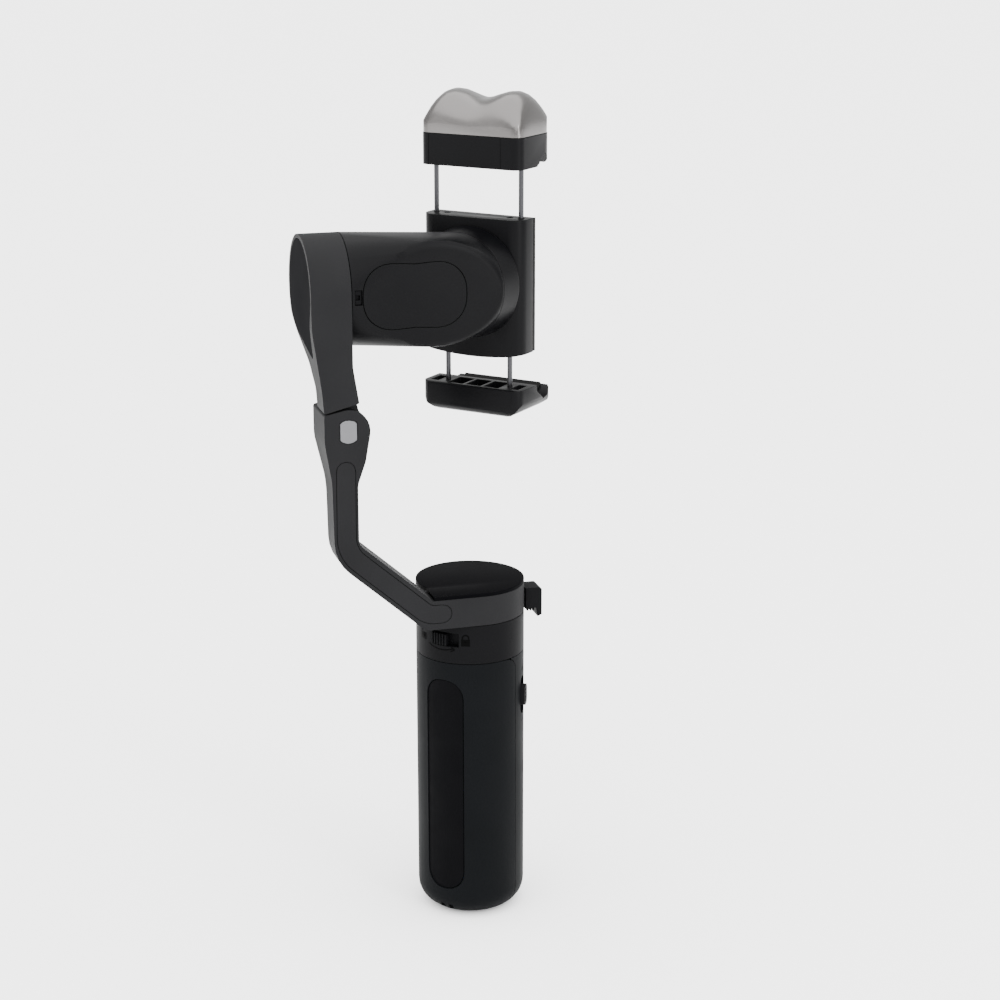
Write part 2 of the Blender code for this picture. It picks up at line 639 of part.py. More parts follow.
def upper_arm_side():
    """The upper arm seen along the tilt axis: the motor's circle running down into a narrow neck."""
    circle = arc(0, HEAD_Z, TILT_R, 0, 240, 32)
    return rounded(circle + [(3.4, 211.9, 7), (8.3, 203.5, 6), (8.3, 190), (ARM_FACE, 190)], 3)


def teardrop(r, tip_r):
    """The tilt motor's end cover: the motor's circle drawn out to a small round tip."""
    tip = (11.6, 216.5)
    away = Vector((tip[0], tip[1] - HEAD_Z))
    lean = degrees(atan2(away.y, away.x))
    spread_deg = degrees(pi / 2 - atan2(r - tip_r, away.length))
    return arc(0, HEAD_Z, r, lean + spread_deg, lean + 360 - spread_deg, 36) + arc(
        *tip, tip_r, lean - spread_deg, lean + spread_deg, 6)


def tongue_outline():
    p0, z0 = HINGE
    return [(45.6, 203)] + arc(p0, z0, TONGUE_R, 168, 360, 12) + [(p0 + TONGUE_R, 203)]


def upper_arm():
    arm = slab("upper_arm", upper_arm_face(), -22, 22, FACE, ARM_PLASTIC, FOLD)
    meet(arm, slab("upper_arm_side", upper_arm_side(), 40, 65, SIDE, None, FOLD))
    tongue = slab("tongue", tongue_outline(), *TONGUE_Q, FACE, None, FOLD)
    join(arm, tongue)
    head = (0, 0, HEAD_Z)
    room = [(0, 57.4), (17.0, 57.4), (17.0, TILT_SEAM + 2.1), (6.0, TILT_SEAM + 2.1), (6.0, 53.0), (0, 53.0)]
    seat = slab("cover_seat", teardrop(18.1, 1.8), 57.2, 66, SIDE, None, FOLD)
    cut(arm, turned("tilt_room", room, 40, None, FOLD, "X", head), seat)
    cut(arm, cylinder("tilt_bore", 4.3, 40, 56, 24, None, FOLD, "X", head),
        cylinder("tongue_bore", 2.6, 5, 22, 24, None, FOLD, "Y", (HINGE[0], 0, HINGE[1])))
    cover = slab("upper_arm_cover", upper_arm_face(), -22, 22, FACE, ARM_PLASTIC, FOLD)
    meet(cover, slab("cover_shape", teardrop(17.9, 1.6), 57.45, 66, SIDE, None, FOLD))


def tilt_motor():
    head = (0, 0, HEAD_Z)
    motor_stator("tilt_stator", 49.2, 54.8, 8.2, 6.25, COPPER, FOLD, SIDE, head)
    ring("tilt_bearing", SHAFT_R + 0.1, 4.15, 47.2, 52.0, 24, STEEL, FOLD, "X", head)
    bell = [(15.3, 56.9), (15.3, 49.0), (13.8, 49.0), (13.8, 55.4), (SHAFT_R + 0.1, 55.4),
            (SHAFT_R + 0.1, 56.9)]
    turned("tilt_bell", bell, 36, STEEL, TILT, "X", head)
    cylinder("tilt_shaft", SHAFT_R, 36, 56.9, 24, STEEL, TILT, "X", head)


# ---------------------------------------------------------------- roll arm

ROLL_EDGE = 3.8                # round edge between the roll arm's flat face and its motor end
PEANUT = (24.2, 236.3)         # middle of the face cover, p and z
DEPTH_45 = 0.5 ** 0.5


def roll_arm_hull(name, mat):
    """The roll arm's skin: drawn tight over the tilt seam, the roll seam and the rounded flat face."""
    bm = bmesh.new()
    count = 44
    seam = ROLL_SEAM + GAP / 2

    def add(place):
        x, y, z = place
        bm.verts.new(Vector(((x + y) * DEPTH_45, (y - x) * DEPTH_45, HEAD_Z + z)) * MM)

    for i in range(count):
        a = 2 * pi * i / count
        bm.verts.new(Vector((TILT_SEAM - 0.15, TILT_R * cos(a), HEAD_Z + TILT_R * sin(a))) * MM)
        x, z = ROLL_R * cos(a), ROLL_R * sin(a)
        add((x, seam, z))
        edge = Vector((x, (ARM_FACE - 0.1) / DEPTH_45 + x, z))
        inwards = Vector((-cos(a), -cos(a), -sin(a))).normalized()
        reach = min(ROLL_EDGE * tan(acos(-DEPTH_45 * cos(a)) / 2), 7.0, edge.y - seam)
        for t in (0, 0.33, 0.67, 1):
            add(edge + Vector((0, -1, 0)) * reach * (1 - t) ** 2 + inwards * reach * t * t)
    made = bmesh.ops.convex_hull(bm, input=bm.verts[:], use_existing_faces=False)
    loose = [g for g in made["geom_interior"] + made["geom_unused"] if isinstance(g, bmesh.types.BMVert)]
    bmesh.ops.delete(bm, geom=list(set(loose)), context="VERTS")
    bmesh.ops.dissolve_limit(bm, angle_limit=radians(0.5), verts=bm.verts[:], edges=bm.edges[:])
    bmesh.ops.recalc_face_normals(bm, faces=bm.faces)
    return from_bmesh(name, bm, mat, TILT)


def peanut(grow):
    """The face cover's outline: two lobes with a slight waist."""
    p0, z0 = PEANUT
    outline = []
    for i in range(44):
        a = 2 * pi * i / 44
        along = 18.2 * (abs(cos(a)) ** 0.62) * (1 if cos(a) >= 0 else -1)
        tall = 12.0 * (abs(sin(a)) ** 0.80) * (1 if sin(a) >= 0 else -1)
        tall *= 1 - 0.09 * cos(pi * along / 24) ** 2
        reach = hypot(along, tall)
        outline.append((p0 + along * (1 + grow / reach), z0 + tall * (1 + grow / reach)))
    return outline


def roll_arm():
    arm = roll_arm_hull("roll_arm", BLACK_PLASTIC)
    seat = slab("cover_recess", peanut(0.15), 14.2, 25, FACE, None, TILT)
    room = slab("board_room", rectangle(13, 34, HEAD_Z - 8, HEAD_Z + 8, 2), 8.0, 14.5, FACE, None, TILT)
    shaft = cylinder("tilt_shaft_bore", SHAFT_R + 0.1, 35.5, 50, 24, None, TILT, "X", (0, 0, HEAD_Z))
    bearing = cylinder("roll_bearing_seat", 4.3, 4, 13.2, 24, None, ROLL, "Y", (0, 0, HEAD_Z))
    roll_bore = cylinder("roll_bore", SHAFT_R + 0.3, 4, 16.5, 24, None, ROLL, "Y", (0, 0, HEAD_Z))
    port = box("port_seat", (42.6, 45.2), (17.0, 22), (233.9, 239.1), None, TILT)
    cut(arm, seat, room, shaft, bearing, roll_bore, port)
    cover = roll_arm_hull("roll_arm_cover", BLACK_PLASTIC)
    meet(cover, slab("cover_cutter", peanut(-0.12), 14.5, 25, FACE, None, TILT))
    insert = box("arm_port", (42.8, 45.0), (17.2, 19.0), (234.1, 238.9), STEEL, TILT)
    cut(insert, box("port_slot", (43.3, 46.0), (18.0, 20.0), (235.6, 237.4), None, TILT))


def roll_motor():
    head = (0, 0, HEAD_Z)
    stator = motor_stator("roll_stator", 2.4, 6.9, 7.2, 4.6, COPPER, TILT, FACE, head)
    bearing = ring("roll_bearing", SHAFT_R + 0.1, 4.15, 2.6, 12.9, 24, STEEL, TILT, "Y", head)
    for piece in (stator, bearing):
        piece.rotation_euler.z = radians(-45)
    hub = [(ROLL_R, ROLL_SEAM - GAP / 2), (19.8, -0.8), (SHAFT_R + 0.1, -0.8), (SHAFT_R + 0.1, 1.4),
           (16.2, 1.4), (16.2, ROLL_SEAM - GAP / 2)]
    turned("roll_hub", hub, 52, BLACK_PLASTIC, ROLL, "Y", head)
    cylinder("roll_shaft", SHAFT_R, -2.8, 15.5, 24, STEEL, ROLL, "Y", head)


# ---------------------------------------------------------------- clamp

def block_face(inset):
    """The clamp block seen from behind, with its gently bowed foot."""
    half = BLOCK_HALF - inset
    low, high = BLOCK_Z[0] + inset, BLOCK_Z[1] - inset
    foot = [(x * half, low - 1.8 * (1 - x * x)) for x in (-0.75, -0.5, -0.25, 0, 0.25, 0.5, 0.75)]
    return [(-half, low)] + foot + [(half, low), (half, high), (-half, high)]


def clamp_block():
    block = slab("clamp_block", block_face(0), *BLOCK_Y, FACE, BLACK_PLASTIC, ROLL)
    plan = rounded([(-BLOCK_HALF, BLOCK_Y[0], 0.6), (BLOCK_HALF, BLOCK_Y[0], 0.6),
                    (BLOCK_HALF, BLOCK_Y[1], 5), (-BLOCK_HALF, BLOCK_Y[1], 5)], 6)
    meet(block, slab("block_plan", plan, 190, 280, TOP, None, ROLL))
    cut(block, box("block_room", (-18.2, 18.2), (-14, -3.2), (HEAD_Z - 22.8, HEAD_Z + 20.6), None, ROLL))
    join(block, cylinder("pinion_post", 1.3, -9.2, -2.8, 20, None, ROLL, "Y", (0, 0, HEAD_Z)))
    bores = [cylinder("shaft_hole", SHAFT_R + 0.2, -2.95, 2, 24, None, ROLL, "Y", (0, 0, HEAD_Z))]
    for side in (-1, 1):
        for label, x, low, high in (("upper_rod", UPPER_ROD_X, 18, 26), ("exit", LOWER_ROD_X, 18, 26),
                                    ("lower_rod", LOWER_ROD_X, -30, -20)):
            bores.append(cylinder(f"{label}_hole_{side}", 1.25, HEAD_Z + low, HEAD_Z + high, 16, None, ROLL,
                                  "Z", (side * x, ROD_Y, 0)))
    cut(block, *bores)
    slab("clamp_cover", block_face(0.15), BLOCK_Y[0] - 1.5, BLOCK_Y[0] - 0.2, FACE, BLACK_PLASTIC, ROLL)
    pad = rectangle(-17.5, 17.5, BLOCK_Z[0] + 1.2, BLOCK_Z[1] - 2.2, 2.5, 3)
    slab("clamp_pad", pad, BLOCK_Y[0] - 2.3, BLOCK_Y[0] - 1.7, FACE, RUBBER, ROLL)


def rack_outline(side, low, high):
    """A toothed bar beside the pinion: side is +1 or -1, the x side it stands on."""
    pitch = pi * TOOTH_MODULE
    line = PINION_TEETH * TOOTH_MODULE / 2
    outline = [(side * (line + 3.3), low), (side * (line + 0.65), low)]
    first = int(low / pitch) - 1
    for i in range(first, int(high / pitch) + 2):
        middle = (i + 0.5) * pitch
        if middle - 0.8 < low or middle + 0.8 > high:
            continue
        for depth, half in ((0.65, -0.60), (-0.5, -0.20), (-0.5, 0.20), (0.65, 0.60)):
            outline.append((side * (line + depth), middle + half))
    outline += [(side * (line + 0.65), high), (side * (line + 3.3), high)]
    return [(x, z + HEAD_Z) for x, z in outline]


def pinion_outline():
    outline = []
    for i in range(PINION_TEETH):
        middle = 360 * i / PINION_TEETH
        for r, half in ((3.45, -7.6), (4.15, -5.2), (4.62, -1.9), (4.62, 1.9), (4.15, 5.2), (3.45, 7.6)):
            outline.append((r * cos(radians(middle + half)), HEAD_Z + r * sin(radians(middle + half))))
    return outline


def clamp_gear():
    """The rack and pinion that make both jaws travel alike, and the springs that close them."""
    bore = arc(0, HEAD_Z, 1.45, 0, -360, 20)[:-1]
    slab("clamp_pinion", [pinion_outline(), bore], -9.0, -6.4, FACE, BRASS, PINION_SPIN)
    upper = slab("upper_carriage", rack_outline(1, -8.0, 12.5), -10.7, -6.2, FACE, STEEL, UPPER_SLIDE)
    bar = box("upper_bar", (-17.9, 17.9), (-10.7, -9.4), (HEAD_Z - 11, HEAD_Z - 5), None, UPPER_SLIDE)
    lugs = [box(f"upper_lug_{s}", sorted((s * 15.5, s * 17.9)), (-10.7, -5.6), (HEAD_Z - 11, HEAD_Z - 5),
                None, UPPER_SLIDE) for s in (-1, 1)]
    join(upper, bar, *lugs)
    lower = slab("lower_carriage", rack_outline(-1, -12.5, 8.0), -8.2, -3.6, FACE, STEEL, LOWER_SLIDE)
    bar = box("lower_bar", (-14.3, 14.3), (-5.0, -3.6), (HEAD_Z + 6.8, HEAD_Z + 10.3), None, LOWER_SLIDE)
    lugs = [box(f"lower_lug_{s}", sorted((s * 10.9, s * 14.3)), (-8.8, -3.6),
                (HEAD_Z + 6.8, HEAD_Z + 10.3), None, LOWER_SLIDE) for s in (-1, 1)]
    join(lower, bar, *lugs)


def clamp_spring(name, x):
    """A compression spring between the two carriages."""
    turns, per_turn, r = 5, 8, 1.2
    low, high = -8.4, 8.4
    curve = bpy.data.curves.new(name, "CURVE")
    curve.dimensions = "3D"
    curve.bevel_depth = 0.28 * MM
    curve.bevel_resolution = 0
    curve.use_fill_caps = True
    spline = curve.splines.new("POLY")
    count = turns * per_turn
    spline.points.add(count)
    for i, point in enumerate(spline.points):
        a = 2 * pi * i / per_turn
        z = HEAD_Z + low + (high - low) * i / count
        point.co = ((x + r * cos(a)) * MM, (ROD_Y + r * sin(a)) * MM, z * MM, 1)
    obj = bpy.data.objects.new(name, curve)
    PARTS.objects.link(obj)
    curve.materials.append(STEEL)
    obj.parent = ROLL.empty
    obj.location = -ROLL.origin * MM


def rods():
    for side, label in ((1, "left"), (-1, "right")):
        at = (side * UPPER_ROD_X, ROD_Y, HEAD_Z)
        cylinder(f"upper_rod_{label}", ROD_R, -4.8, JAW_GRIP + 5.5, 12, STEEL, UPPER_SLIDE, "Z", at)
        at = (side * LOWER_ROD_X, ROD_Y, HEAD_Z)
        cylinder(f"lower_rod_{label}", ROD_R, -JAW_GRIP - 3.0, 6.6, 12, STEEL, LOWER_SLIDE, "Z", at)


# ---------------------------------------------------------------- jaws

JAW_BACK = -0.5
JAW_FRONT = -25.0
BAND_TOP = HEAD_Z + 51.0
CAP_SADDLE_RISE = 11.1
CAP_HUMP_RISE = 2.7
CAP_HUMP_X = 11.6


def jaw_plan(front, inset=0.0):
    half = BLOCK_HALF - inset
    return rounded([(-half, front + inset, 5.5), (half, front + inset, 5.5), (half, JAW_BACK - inset, 3.5),
                    (-half, JAW_BACK - inset, 3.5)], 5)


def upper_jaw():
    grip = HEAD_Z + JAW_GRIP
    side = [(JAW_BACK, grip), (-13.4, grip), (-19.2, grip + 4.4), (-24.4, grip + 0.2),
            (JAW_FRONT, grip + 0.8), (JAW_FRONT, BAND_TOP), (JAW_BACK, BAND_TOP)]
    jaw = slab("upper_jaw", jaw_plan(JAW_FRONT), grip - 2, BAND_TOP, TOP, BLACK_PLASTIC, UPPER_SLIDE)
    meet(jaw, slab("upper_jaw_side", side, -25, 25, SIDE, None, UPPER_SLIDE))
    holes = [cylinder(f"upper_socket_{s}", ROD_R + 0.12, grip - 3, grip + 6.0, 12, None, UPPER_SLIDE, "Z",
                      (s * UPPER_ROD_X, ROD_Y, 0)) for s in (-1, 1)]
    cut(jaw, *holes)
    pad = [(-13.9, grip - 0.1), (-19.2, grip + 3.9), (-23.9, grip + 0.1), (-23.2, grip - 0.5),
           (-19.2, grip + 2.7), (-14.6, grip - 0.8)]
    slab("upper_jaw_pad", pad, -15.5, 15.5, SIDE, RUBBER, UPPER_SLIDE)


def upper_jaw_cap():
    """The satin metal cap: rings of the jaw's plan drawn in and up to a saddle between two humps."""
    bm = bmesh.new()
    corners = jaw_plan(JAW_FRONT, 0.1)
    plan = []
    for here, ahead in zip(corners, corners[1:] + corners[:1]):
        pieces = max(1, round(hypot(ahead[0] - here[0], ahead[1] - here[1]) / 3.2))
        plan += [(here[0] + (ahead[0] - here[0]) * i / pieces, here[1] + (ahead[1] - here[1]) * i / pieces)
                 for i in range(pieces)]
    middle = (JAW_FRONT + JAW_BACK) / 2
    half = (JAW_BACK - JAW_FRONT) / 2
    low = BAND_TOP + 0.15

    def height(x, y):
        shoulder = max(abs(x) - CAP_HUMP_X, 0) / (BLOCK_HALF - 0.1 - CAP_HUMP_X)
        across = max(1 - shoulder ** 2, 0) ** 0.5
        along = max(1 - abs((y - middle) / half) ** 2.3, 0) ** (1 / 2.3)
        hump = (1 - cos(pi * min(abs(x) / CAP_HUMP_X, 1))) / 2
        return low + 0.8 + (CAP_SADDLE_RISE + CAP_HUMP_RISE * hump) * across * along

    rings = [[bm.verts.new(Vector((x, y, low)) * MM) for x, y in plan]]
    for scale in (1.0, 0.99, 0.965, 0.93, 0.88, 0.81, 0.72, 0.61, 0.48, 0.33, 0.16):
        line = [(x * scale, middle + (y - middle) * scale) for x, y in plan]
        rings.append([bm.verts.new(Vector((x, y, height(x, y))) * MM) for x, y in line])
    count = len(plan)
    for below, above in zip(rings, rings[1:]):
        for i in range(count):
            j = (i + 1) % count
            bm.faces.new((below[i], below[j], above[j], above[i]))
    top = bm.verts.new(Vector((0, middle, height(0, middle))) * MM)
    for i in range(count):
        bm.faces.new((rings[-1][i], rings[-1][(i + 1) % count], top))
    bm.faces.new(rings[0][::-1])
    bmesh.ops.recalc_face_normals(bm, faces=bm.faces)
    return from_bmesh("upper_jaw_cap", bm, SATIN_METAL, UPPER_SLIDE)


def lower_jaw():
    grip = HEAD_Z - JAW_GRIP + 2.3
    low = HEAD_Z - 48.0
    front = -27.0
    side = rounded([(JAW_BACK, grip, 0.8), (-13.4, grip), (-14.2, grip - 2.6), (-19.8, grip - 6.4),
                    (-25.6, grip - 2.4), (front, grip - 3.4), (front, low, 4.5), (JAW_BACK, low, 3.5)])
    jaw = slab("lower_jaw", jaw_plan(front), low - 1, grip, TOP, BLACK_PLASTIC, LOWER_SLIDE)
    meet(jaw, slab("lower_jaw_side", side[::-1], -25, 25, SIDE, None, LOWER_SLIDE))
    face = rounded([(-20.5, low, 8), (20.5, low, 8), (20.5, grip + 2), (-20.5, grip + 2)], 4)
    meet(jaw, slab("lower_jaw_face", face, -30, 2, FACE, None, LOWER_SLIDE))
    pockets = [box(f"pocket_{i}", (-10.4 + 7.2 * i, -4.2 + 7.2 * i), (-11.4, -2.4),
                   (grip - 6.5, grip + 3), None, LOWER_SLIDE) for i in range(3)]
    pockets += [box(f"outer_pocket_{s}", sorted((s * 14.6, s * 17.9)), (-10.4, -3.4),
                    (grip - 3.6, grip + 3), None, LOWER_SLIDE) for s in (-1, 1)]
    holes = [cylinder(f"lower_socket_{s}", ROD_R + 0.12, grip - 6.2, grip + 3, 12, None, LOWER_SLIDE, "Z",
                      (s * LOWER_ROD_X, ROD_Y, 0)) for s in (-1, 1)]
    cut(jaw, *pockets, *holes)
    pad = [(-14.5, grip - 2.5), (-19.8, grip - 6.1), (-25.2, grip - 2.3), (-24.6, grip - 1.6),
           (-19.8, grip - 5.0), (-15.2, grip - 1.8)]
    slab("lower_jaw_pad", pad[::-1], -15.5, 15.5, SIDE, RUBBER, LOWER_SLIDE)


rear_shell()
grip_pad()
front_shell()
control_panel()
handle_inside()
base_and_thread()
socket_shell()
collar()
lock_slider()
pan_motor()
controls()
lower_arm()
hinge()
storage_latch()
upper_arm()
tilt_motor()
roll_arm()
roll_motor()
clamp_block()
clamp_gear()
clamp_spring("clamp_spring_left", 9.2)
clamp_spring("clamp_spring_right", -9.2)
rods()
upper_jaw()
upper_jaw_cap()
lower_jaw()
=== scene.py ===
"""Folding phone gimbal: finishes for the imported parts, small printed and moulded detail, studio, camera."""

import logging
from dataclasses import dataclass, field
from enum import Enum
from math import cos, pi, radians, sin

import bpy
from mathutils import Matrix, Vector


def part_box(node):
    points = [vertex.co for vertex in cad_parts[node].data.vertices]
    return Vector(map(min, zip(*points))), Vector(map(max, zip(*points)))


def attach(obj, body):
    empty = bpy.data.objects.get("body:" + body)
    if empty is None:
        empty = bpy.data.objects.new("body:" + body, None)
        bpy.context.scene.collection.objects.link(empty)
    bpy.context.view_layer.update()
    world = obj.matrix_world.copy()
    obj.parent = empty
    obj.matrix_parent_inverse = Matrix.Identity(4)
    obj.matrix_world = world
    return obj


logging.basicConfig(level=logging.INFO, format="%(message)s")
LOG = logging.getLogger("gimbal")

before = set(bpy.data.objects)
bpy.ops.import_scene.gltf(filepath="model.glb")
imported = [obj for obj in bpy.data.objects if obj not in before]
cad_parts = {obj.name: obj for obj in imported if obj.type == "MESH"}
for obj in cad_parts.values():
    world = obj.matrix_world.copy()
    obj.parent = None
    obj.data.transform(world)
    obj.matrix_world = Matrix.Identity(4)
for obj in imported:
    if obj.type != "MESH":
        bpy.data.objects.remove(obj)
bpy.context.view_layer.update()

MM = 0.001
WAVE_PERIOD_M = 0.32           # close to one repeat of a wave texture at scale 1
PRINT_RADIUS_MM = 19.83        # just proud of the handle's radius of 19.8
PRINT_FILM_MM = 0.06
PRINT_EDGE_MM = 0.02
WELD_MM = 0.002
CRISP_ANGLE = radians(33)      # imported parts: edges sharper than this stay crisp
BEVEL_ANGLE = radians(40)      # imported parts: edges sharper than this are rounded
SMOOTH_ANGLE = radians(35)     # small pieces: edges flatter than this are smoothed
STUD_RIM = 0.22                # a stud's shoulder, as a share of its radius
STUD_CROWN = 0.18              # how far its face stands out, as a share of its height
RECESS_RIM = 0.32              # a driver's recess, as a share of the radius
RECESS_DEPTH = 0.55            # and of the height


# ---------------------------------------------------------------- colour and node helpers

def linear(hex_colour: str) -> tuple[float, float, float, float]:
    """Turns an sRGB hex colour into linear light.

    Args:
        hex_colour: Six hex digits, such as "26272B".

    Returns:
        Linear red, green, blue and an alpha of 1.
    """
    parts = [int(hex_colour[i:i + 2], 16) / 255 for i in (0, 2, 4)]
    light = [c / 12.92 if c <= 0.04045 else ((c + 0.055) / 1.055) ** 2.4 for c in parts]
    return light[0], light[1], light[2], 1.0


def add_node(tree: bpy.types.NodeTree, kind: str, values: dict | None = None, links: dict | None = None,
             **settings: object) -> bpy.types.Node:
    """Adds one shader node with its settings, socket values and incoming links.

    Args:
        tree: The material's node tree.
        kind: The node's type name without the "ShaderNode" in front.
        values: Socket name or number to constant.
        links: Socket name or number to the output socket that feeds it.
        **settings: The node's own properties.

    Returns:
        The new node.
    """
    node = tree.nodes.new("ShaderNode" + kind)
    for name, value in settings.items():
        setattr(node, name, value)
    for socket, value in (values or {}).items():
        node.inputs[socket].default_value = value
    for socket, source in (links or {}).items():
        tree.links.new(source, node.inputs[socket])
    return node


def blank_material(name: str, hex_colour: str) -> tuple[bpy.types.Material, bpy.types.Node]:
    """Makes a material with only its output and Principled shader, both linked.

    Args:
        name: The material's name.
        hex_colour: The base colour.

    Returns:
        The material and its shader.
    """
    made = bpy.data.materials.new(name)
    made.use_nodes = True
    shader = made.node_tree.nodes["Principled BSDF"]
    shader.inputs["Base Color"].default_value = linear(hex_colour)
    made.diffuse_color = linear(hex_colour)
    return made, shader


# ---------------------------------------------------------------- finishes

@dataclass(frozen=True)
class MouldedPlastic:
    """Injection-moulded plastic: grain eroded in the mould, with edges rubbed a little paler.

    The specular level is low, as fine grain and matt paint scatter most of the gloss.
    """

    name: str
    colour: str
    pale: str
    roughness: float
    grain_mm: float = 0.22
    grain_depth_mm: float = 0.012
    edge_mm: float = 0.30
    flow_mm: float = 26.0
    specular: float = 0.30

    def make(self) -> bpy.types.Material:
        """Builds the node material.

        Returns:
            The finished material.
        """
        made, shader = blank_material(self.name, self.colour)
        tree = made.node_tree
        place = add_node(tree, "TexCoord").outputs["Object"]
        # Real grain is too fine to see at arm's length, so it is drawn coarser, at about 0.2 mm.
        grain = add_node(tree, "TexNoise",
                         {"Scale": 1 / (self.grain_mm * MM), "Detail": 3.0, "Roughness": 0.6},
                         {"Vector": place})
        # Slow flow marks of the melt, a few centimetres long, shift the gloss slightly.
        flow = add_node(tree, "TexNoise", {"Scale": 1 / (self.flow_mm * MM), "Detail": 2.0},
                        {"Vector": place})
        # The rounded normal leaves the face's own normal only near an edge, where the finish wears.
        round_edge = add_node(tree, "Bevel", {"Radius": self.edge_mm * MM}, samples=4)
        true_face = add_node(tree, "NewGeometry")
        bend = add_node(tree, "VectorMath", None,
                        {0: round_edge.outputs["Normal"], 1: true_face.outputs["Normal"]},
                        operation="DOT_PRODUCT")
        worn = add_node(tree, "MapRange",
                        {"From Min": 0.999, "From Max": 0.80, "To Min": 0.0, "To Max": 0.55},
                        {"Value": bend.outputs["Value"]})
        cloud = add_node(tree, "MapRange",
                         {"From Min": 0.3, "From Max": 0.7, "To Min": 0.0, "To Max": 0.35},
                         {"Value": flow.outputs["Fac"]})
        amount = add_node(tree, "Math", None, {0: worn.outputs["Result"], 1: cloud.outputs["Result"]},
                          operation="MAXIMUM")
        mix = add_node(tree, "MixRGB", {"Color1": linear(self.colour), "Color2": linear(self.pale)},
                       {"Fac": amount.outputs["Value"]})
        tree.links.new(mix.outputs["Color"], shader.inputs["Base Color"])
        gloss = add_node(tree, "MapRange",
                         {"From Min": 0.25, "From Max": 0.75, "To Min": self.roughness - 0.06,
                          "To Max": self.roughness + 0.06},
                         {"Value": flow.outputs["Fac"]})
        tree.links.new(gloss.outputs["Result"], shader.inputs["Roughness"])
        bump = add_node(tree, "Bump", {"Strength": 0.6, "Distance": self.grain_depth_mm * MM},
                        {"Height": grain.outputs["Fac"], "Normal": round_edge.outputs["Normal"]})
        tree.links.new(bump.outputs["Normal"], shader.inputs["Normal"])
        shader.inputs["IOR"].default_value = 1.53
        shader.inputs["Specular IOR Level"].default_value = self.specular
        return made


@dataclass(frozen=True)
class SoftRubber:
    """Moulded silicone or TPU: dull, with a fine skin and a faint dusty bloom that shifts its gloss."""

    name: str
    colour: str
    roughness: float = 0.72
    sheen: float = 0.02
    specular: float = 0.12
    skin_mm: float = 0.35
    bloom_mm: float = 9.0
    edge_mm: float = 0.3

    def make(self) -> bpy.types.Material:
        """Builds the node material.

        Returns:
            The finished material.
        """
        made, shader = blank_material(self.name, self.colour)
        tree = made.node_tree
        place = add_node(tree, "TexCoord").outputs["Object"]
        skin = add_node(tree, "TexNoise", {"Scale": 1 / (self.skin_mm * MM), "Detail": 4.0},
                        {"Vector": place})
        bloom = add_node(tree, "TexNoise", {"Scale": 1 / (self.bloom_mm * MM), "Detail": 3.0},
                         {"Vector": place})
        gloss = add_node(tree, "MapRange",
                         {"From Min": 0.3, "From Max": 0.7, "To Min": self.roughness - 0.08,
                          "To Max": self.roughness + 0.08},
                         {"Value": bloom.outputs["Fac"]})
        tree.links.new(gloss.outputs["Result"], shader.inputs["Roughness"])
        round_edge = add_node(tree, "Bevel", {"Radius": self.edge_mm * MM}, samples=4)
        bump = add_node(tree, "Bump", {"Strength": 0.5, "Distance": 0.015 * MM},
                        {"Height": skin.outputs["Fac"], "Normal": round_edge.outputs["Normal"]})
        tree.links.new(bump.outputs["Normal"], shader.inputs["Normal"])
        shader.inputs["Sheen Weight"].default_value = self.sheen
        shader.inputs["Sheen Roughness"].default_value = 0.5
        shader.inputs["IOR"].default_value = 1.45
        shader.inputs["Specular IOR Level"].default_value = self.specular
        return made


class Lay(Enum):
    """The kind of marks that a tool left."""

    BLASTED = "blasted"
    RINGS = "rings"
    DRAWN = "drawn"


@dataclass(frozen=True)
class MetalFinish:
    """A bare or plated metal whose gloss follows how it was worked: blasted, faced on a lathe or drawn."""

    name: str
    colour: str
    roughness: float
    lay: Lay
    centre_mm: tuple[float, float, float] = (0.0, 0.0, 0.0)
    spacing_mm: float = 0.25
    edge_mm: float = 0.2

    def make(self) -> bpy.types.Material:
        """Builds the node material.

        Returns:
            The finished material.
        """
        made, shader = blank_material(self.name, self.colour)
        tree = made.node_tree
        place = add_node(tree, "TexCoord").outputs["Object"]
        shader.inputs["Metallic"].default_value = 1.0
        if self.lay is Lay.RINGS:
            # A facing tool leaves rings, which are centred on the piece's own middle.
            shift = add_node(tree, "Mapping", {"Location": tuple(-c * MM for c in self.centre_mm)},
                             {"Vector": place})
            marks = add_node(tree, "TexWave",
                             {"Scale": WAVE_PERIOD_M / (self.spacing_mm * MM), "Distortion": 0.6,
                              "Detail": 2.0},
                             {"Vector": shift.outputs["Vector"]},
                             wave_type="RINGS", rings_direction="SPHERICAL")
        elif self.lay is Lay.DRAWN:
            # The die leaves fine lines along Z, fifty times as long as they are wide.
            shift = add_node(tree, "Mapping", {"Scale": (1.0, 1.0, 0.02)}, {"Vector": place})
            marks = add_node(tree, "TexNoise", {"Scale": 1 / (self.spacing_mm * MM), "Detail": 3.0},
                             {"Vector": shift.outputs["Vector"]})
        else:
            marks = add_node(tree, "TexNoise",
                             {"Scale": 1 / (self.spacing_mm * MM), "Detail": 5.0, "Roughness": 0.7},
                             {"Vector": place})
        gloss = add_node(tree, "MapRange",
                         {"From Min": 0.2, "From Max": 0.8, "To Min": self.roughness - 0.05,
                          "To Max": self.roughness + 0.07},
                         {"Value": marks.outputs["Fac"]})
        tree.links.new(gloss.outputs["Result"], shader.inputs["Roughness"])
        round_edge = add_node(tree, "Bevel", {"Radius": self.edge_mm * MM}, samples=4)
        bump = add_node(tree, "Bump", {"Strength": 0.35, "Distance": 0.006 * MM},
                        {"Height": marks.outputs["Fac"], "Normal": round_edge.outputs["Normal"]})
        tree.links.new(bump.outputs["Normal"], shader.inputs["Normal"])
        return made


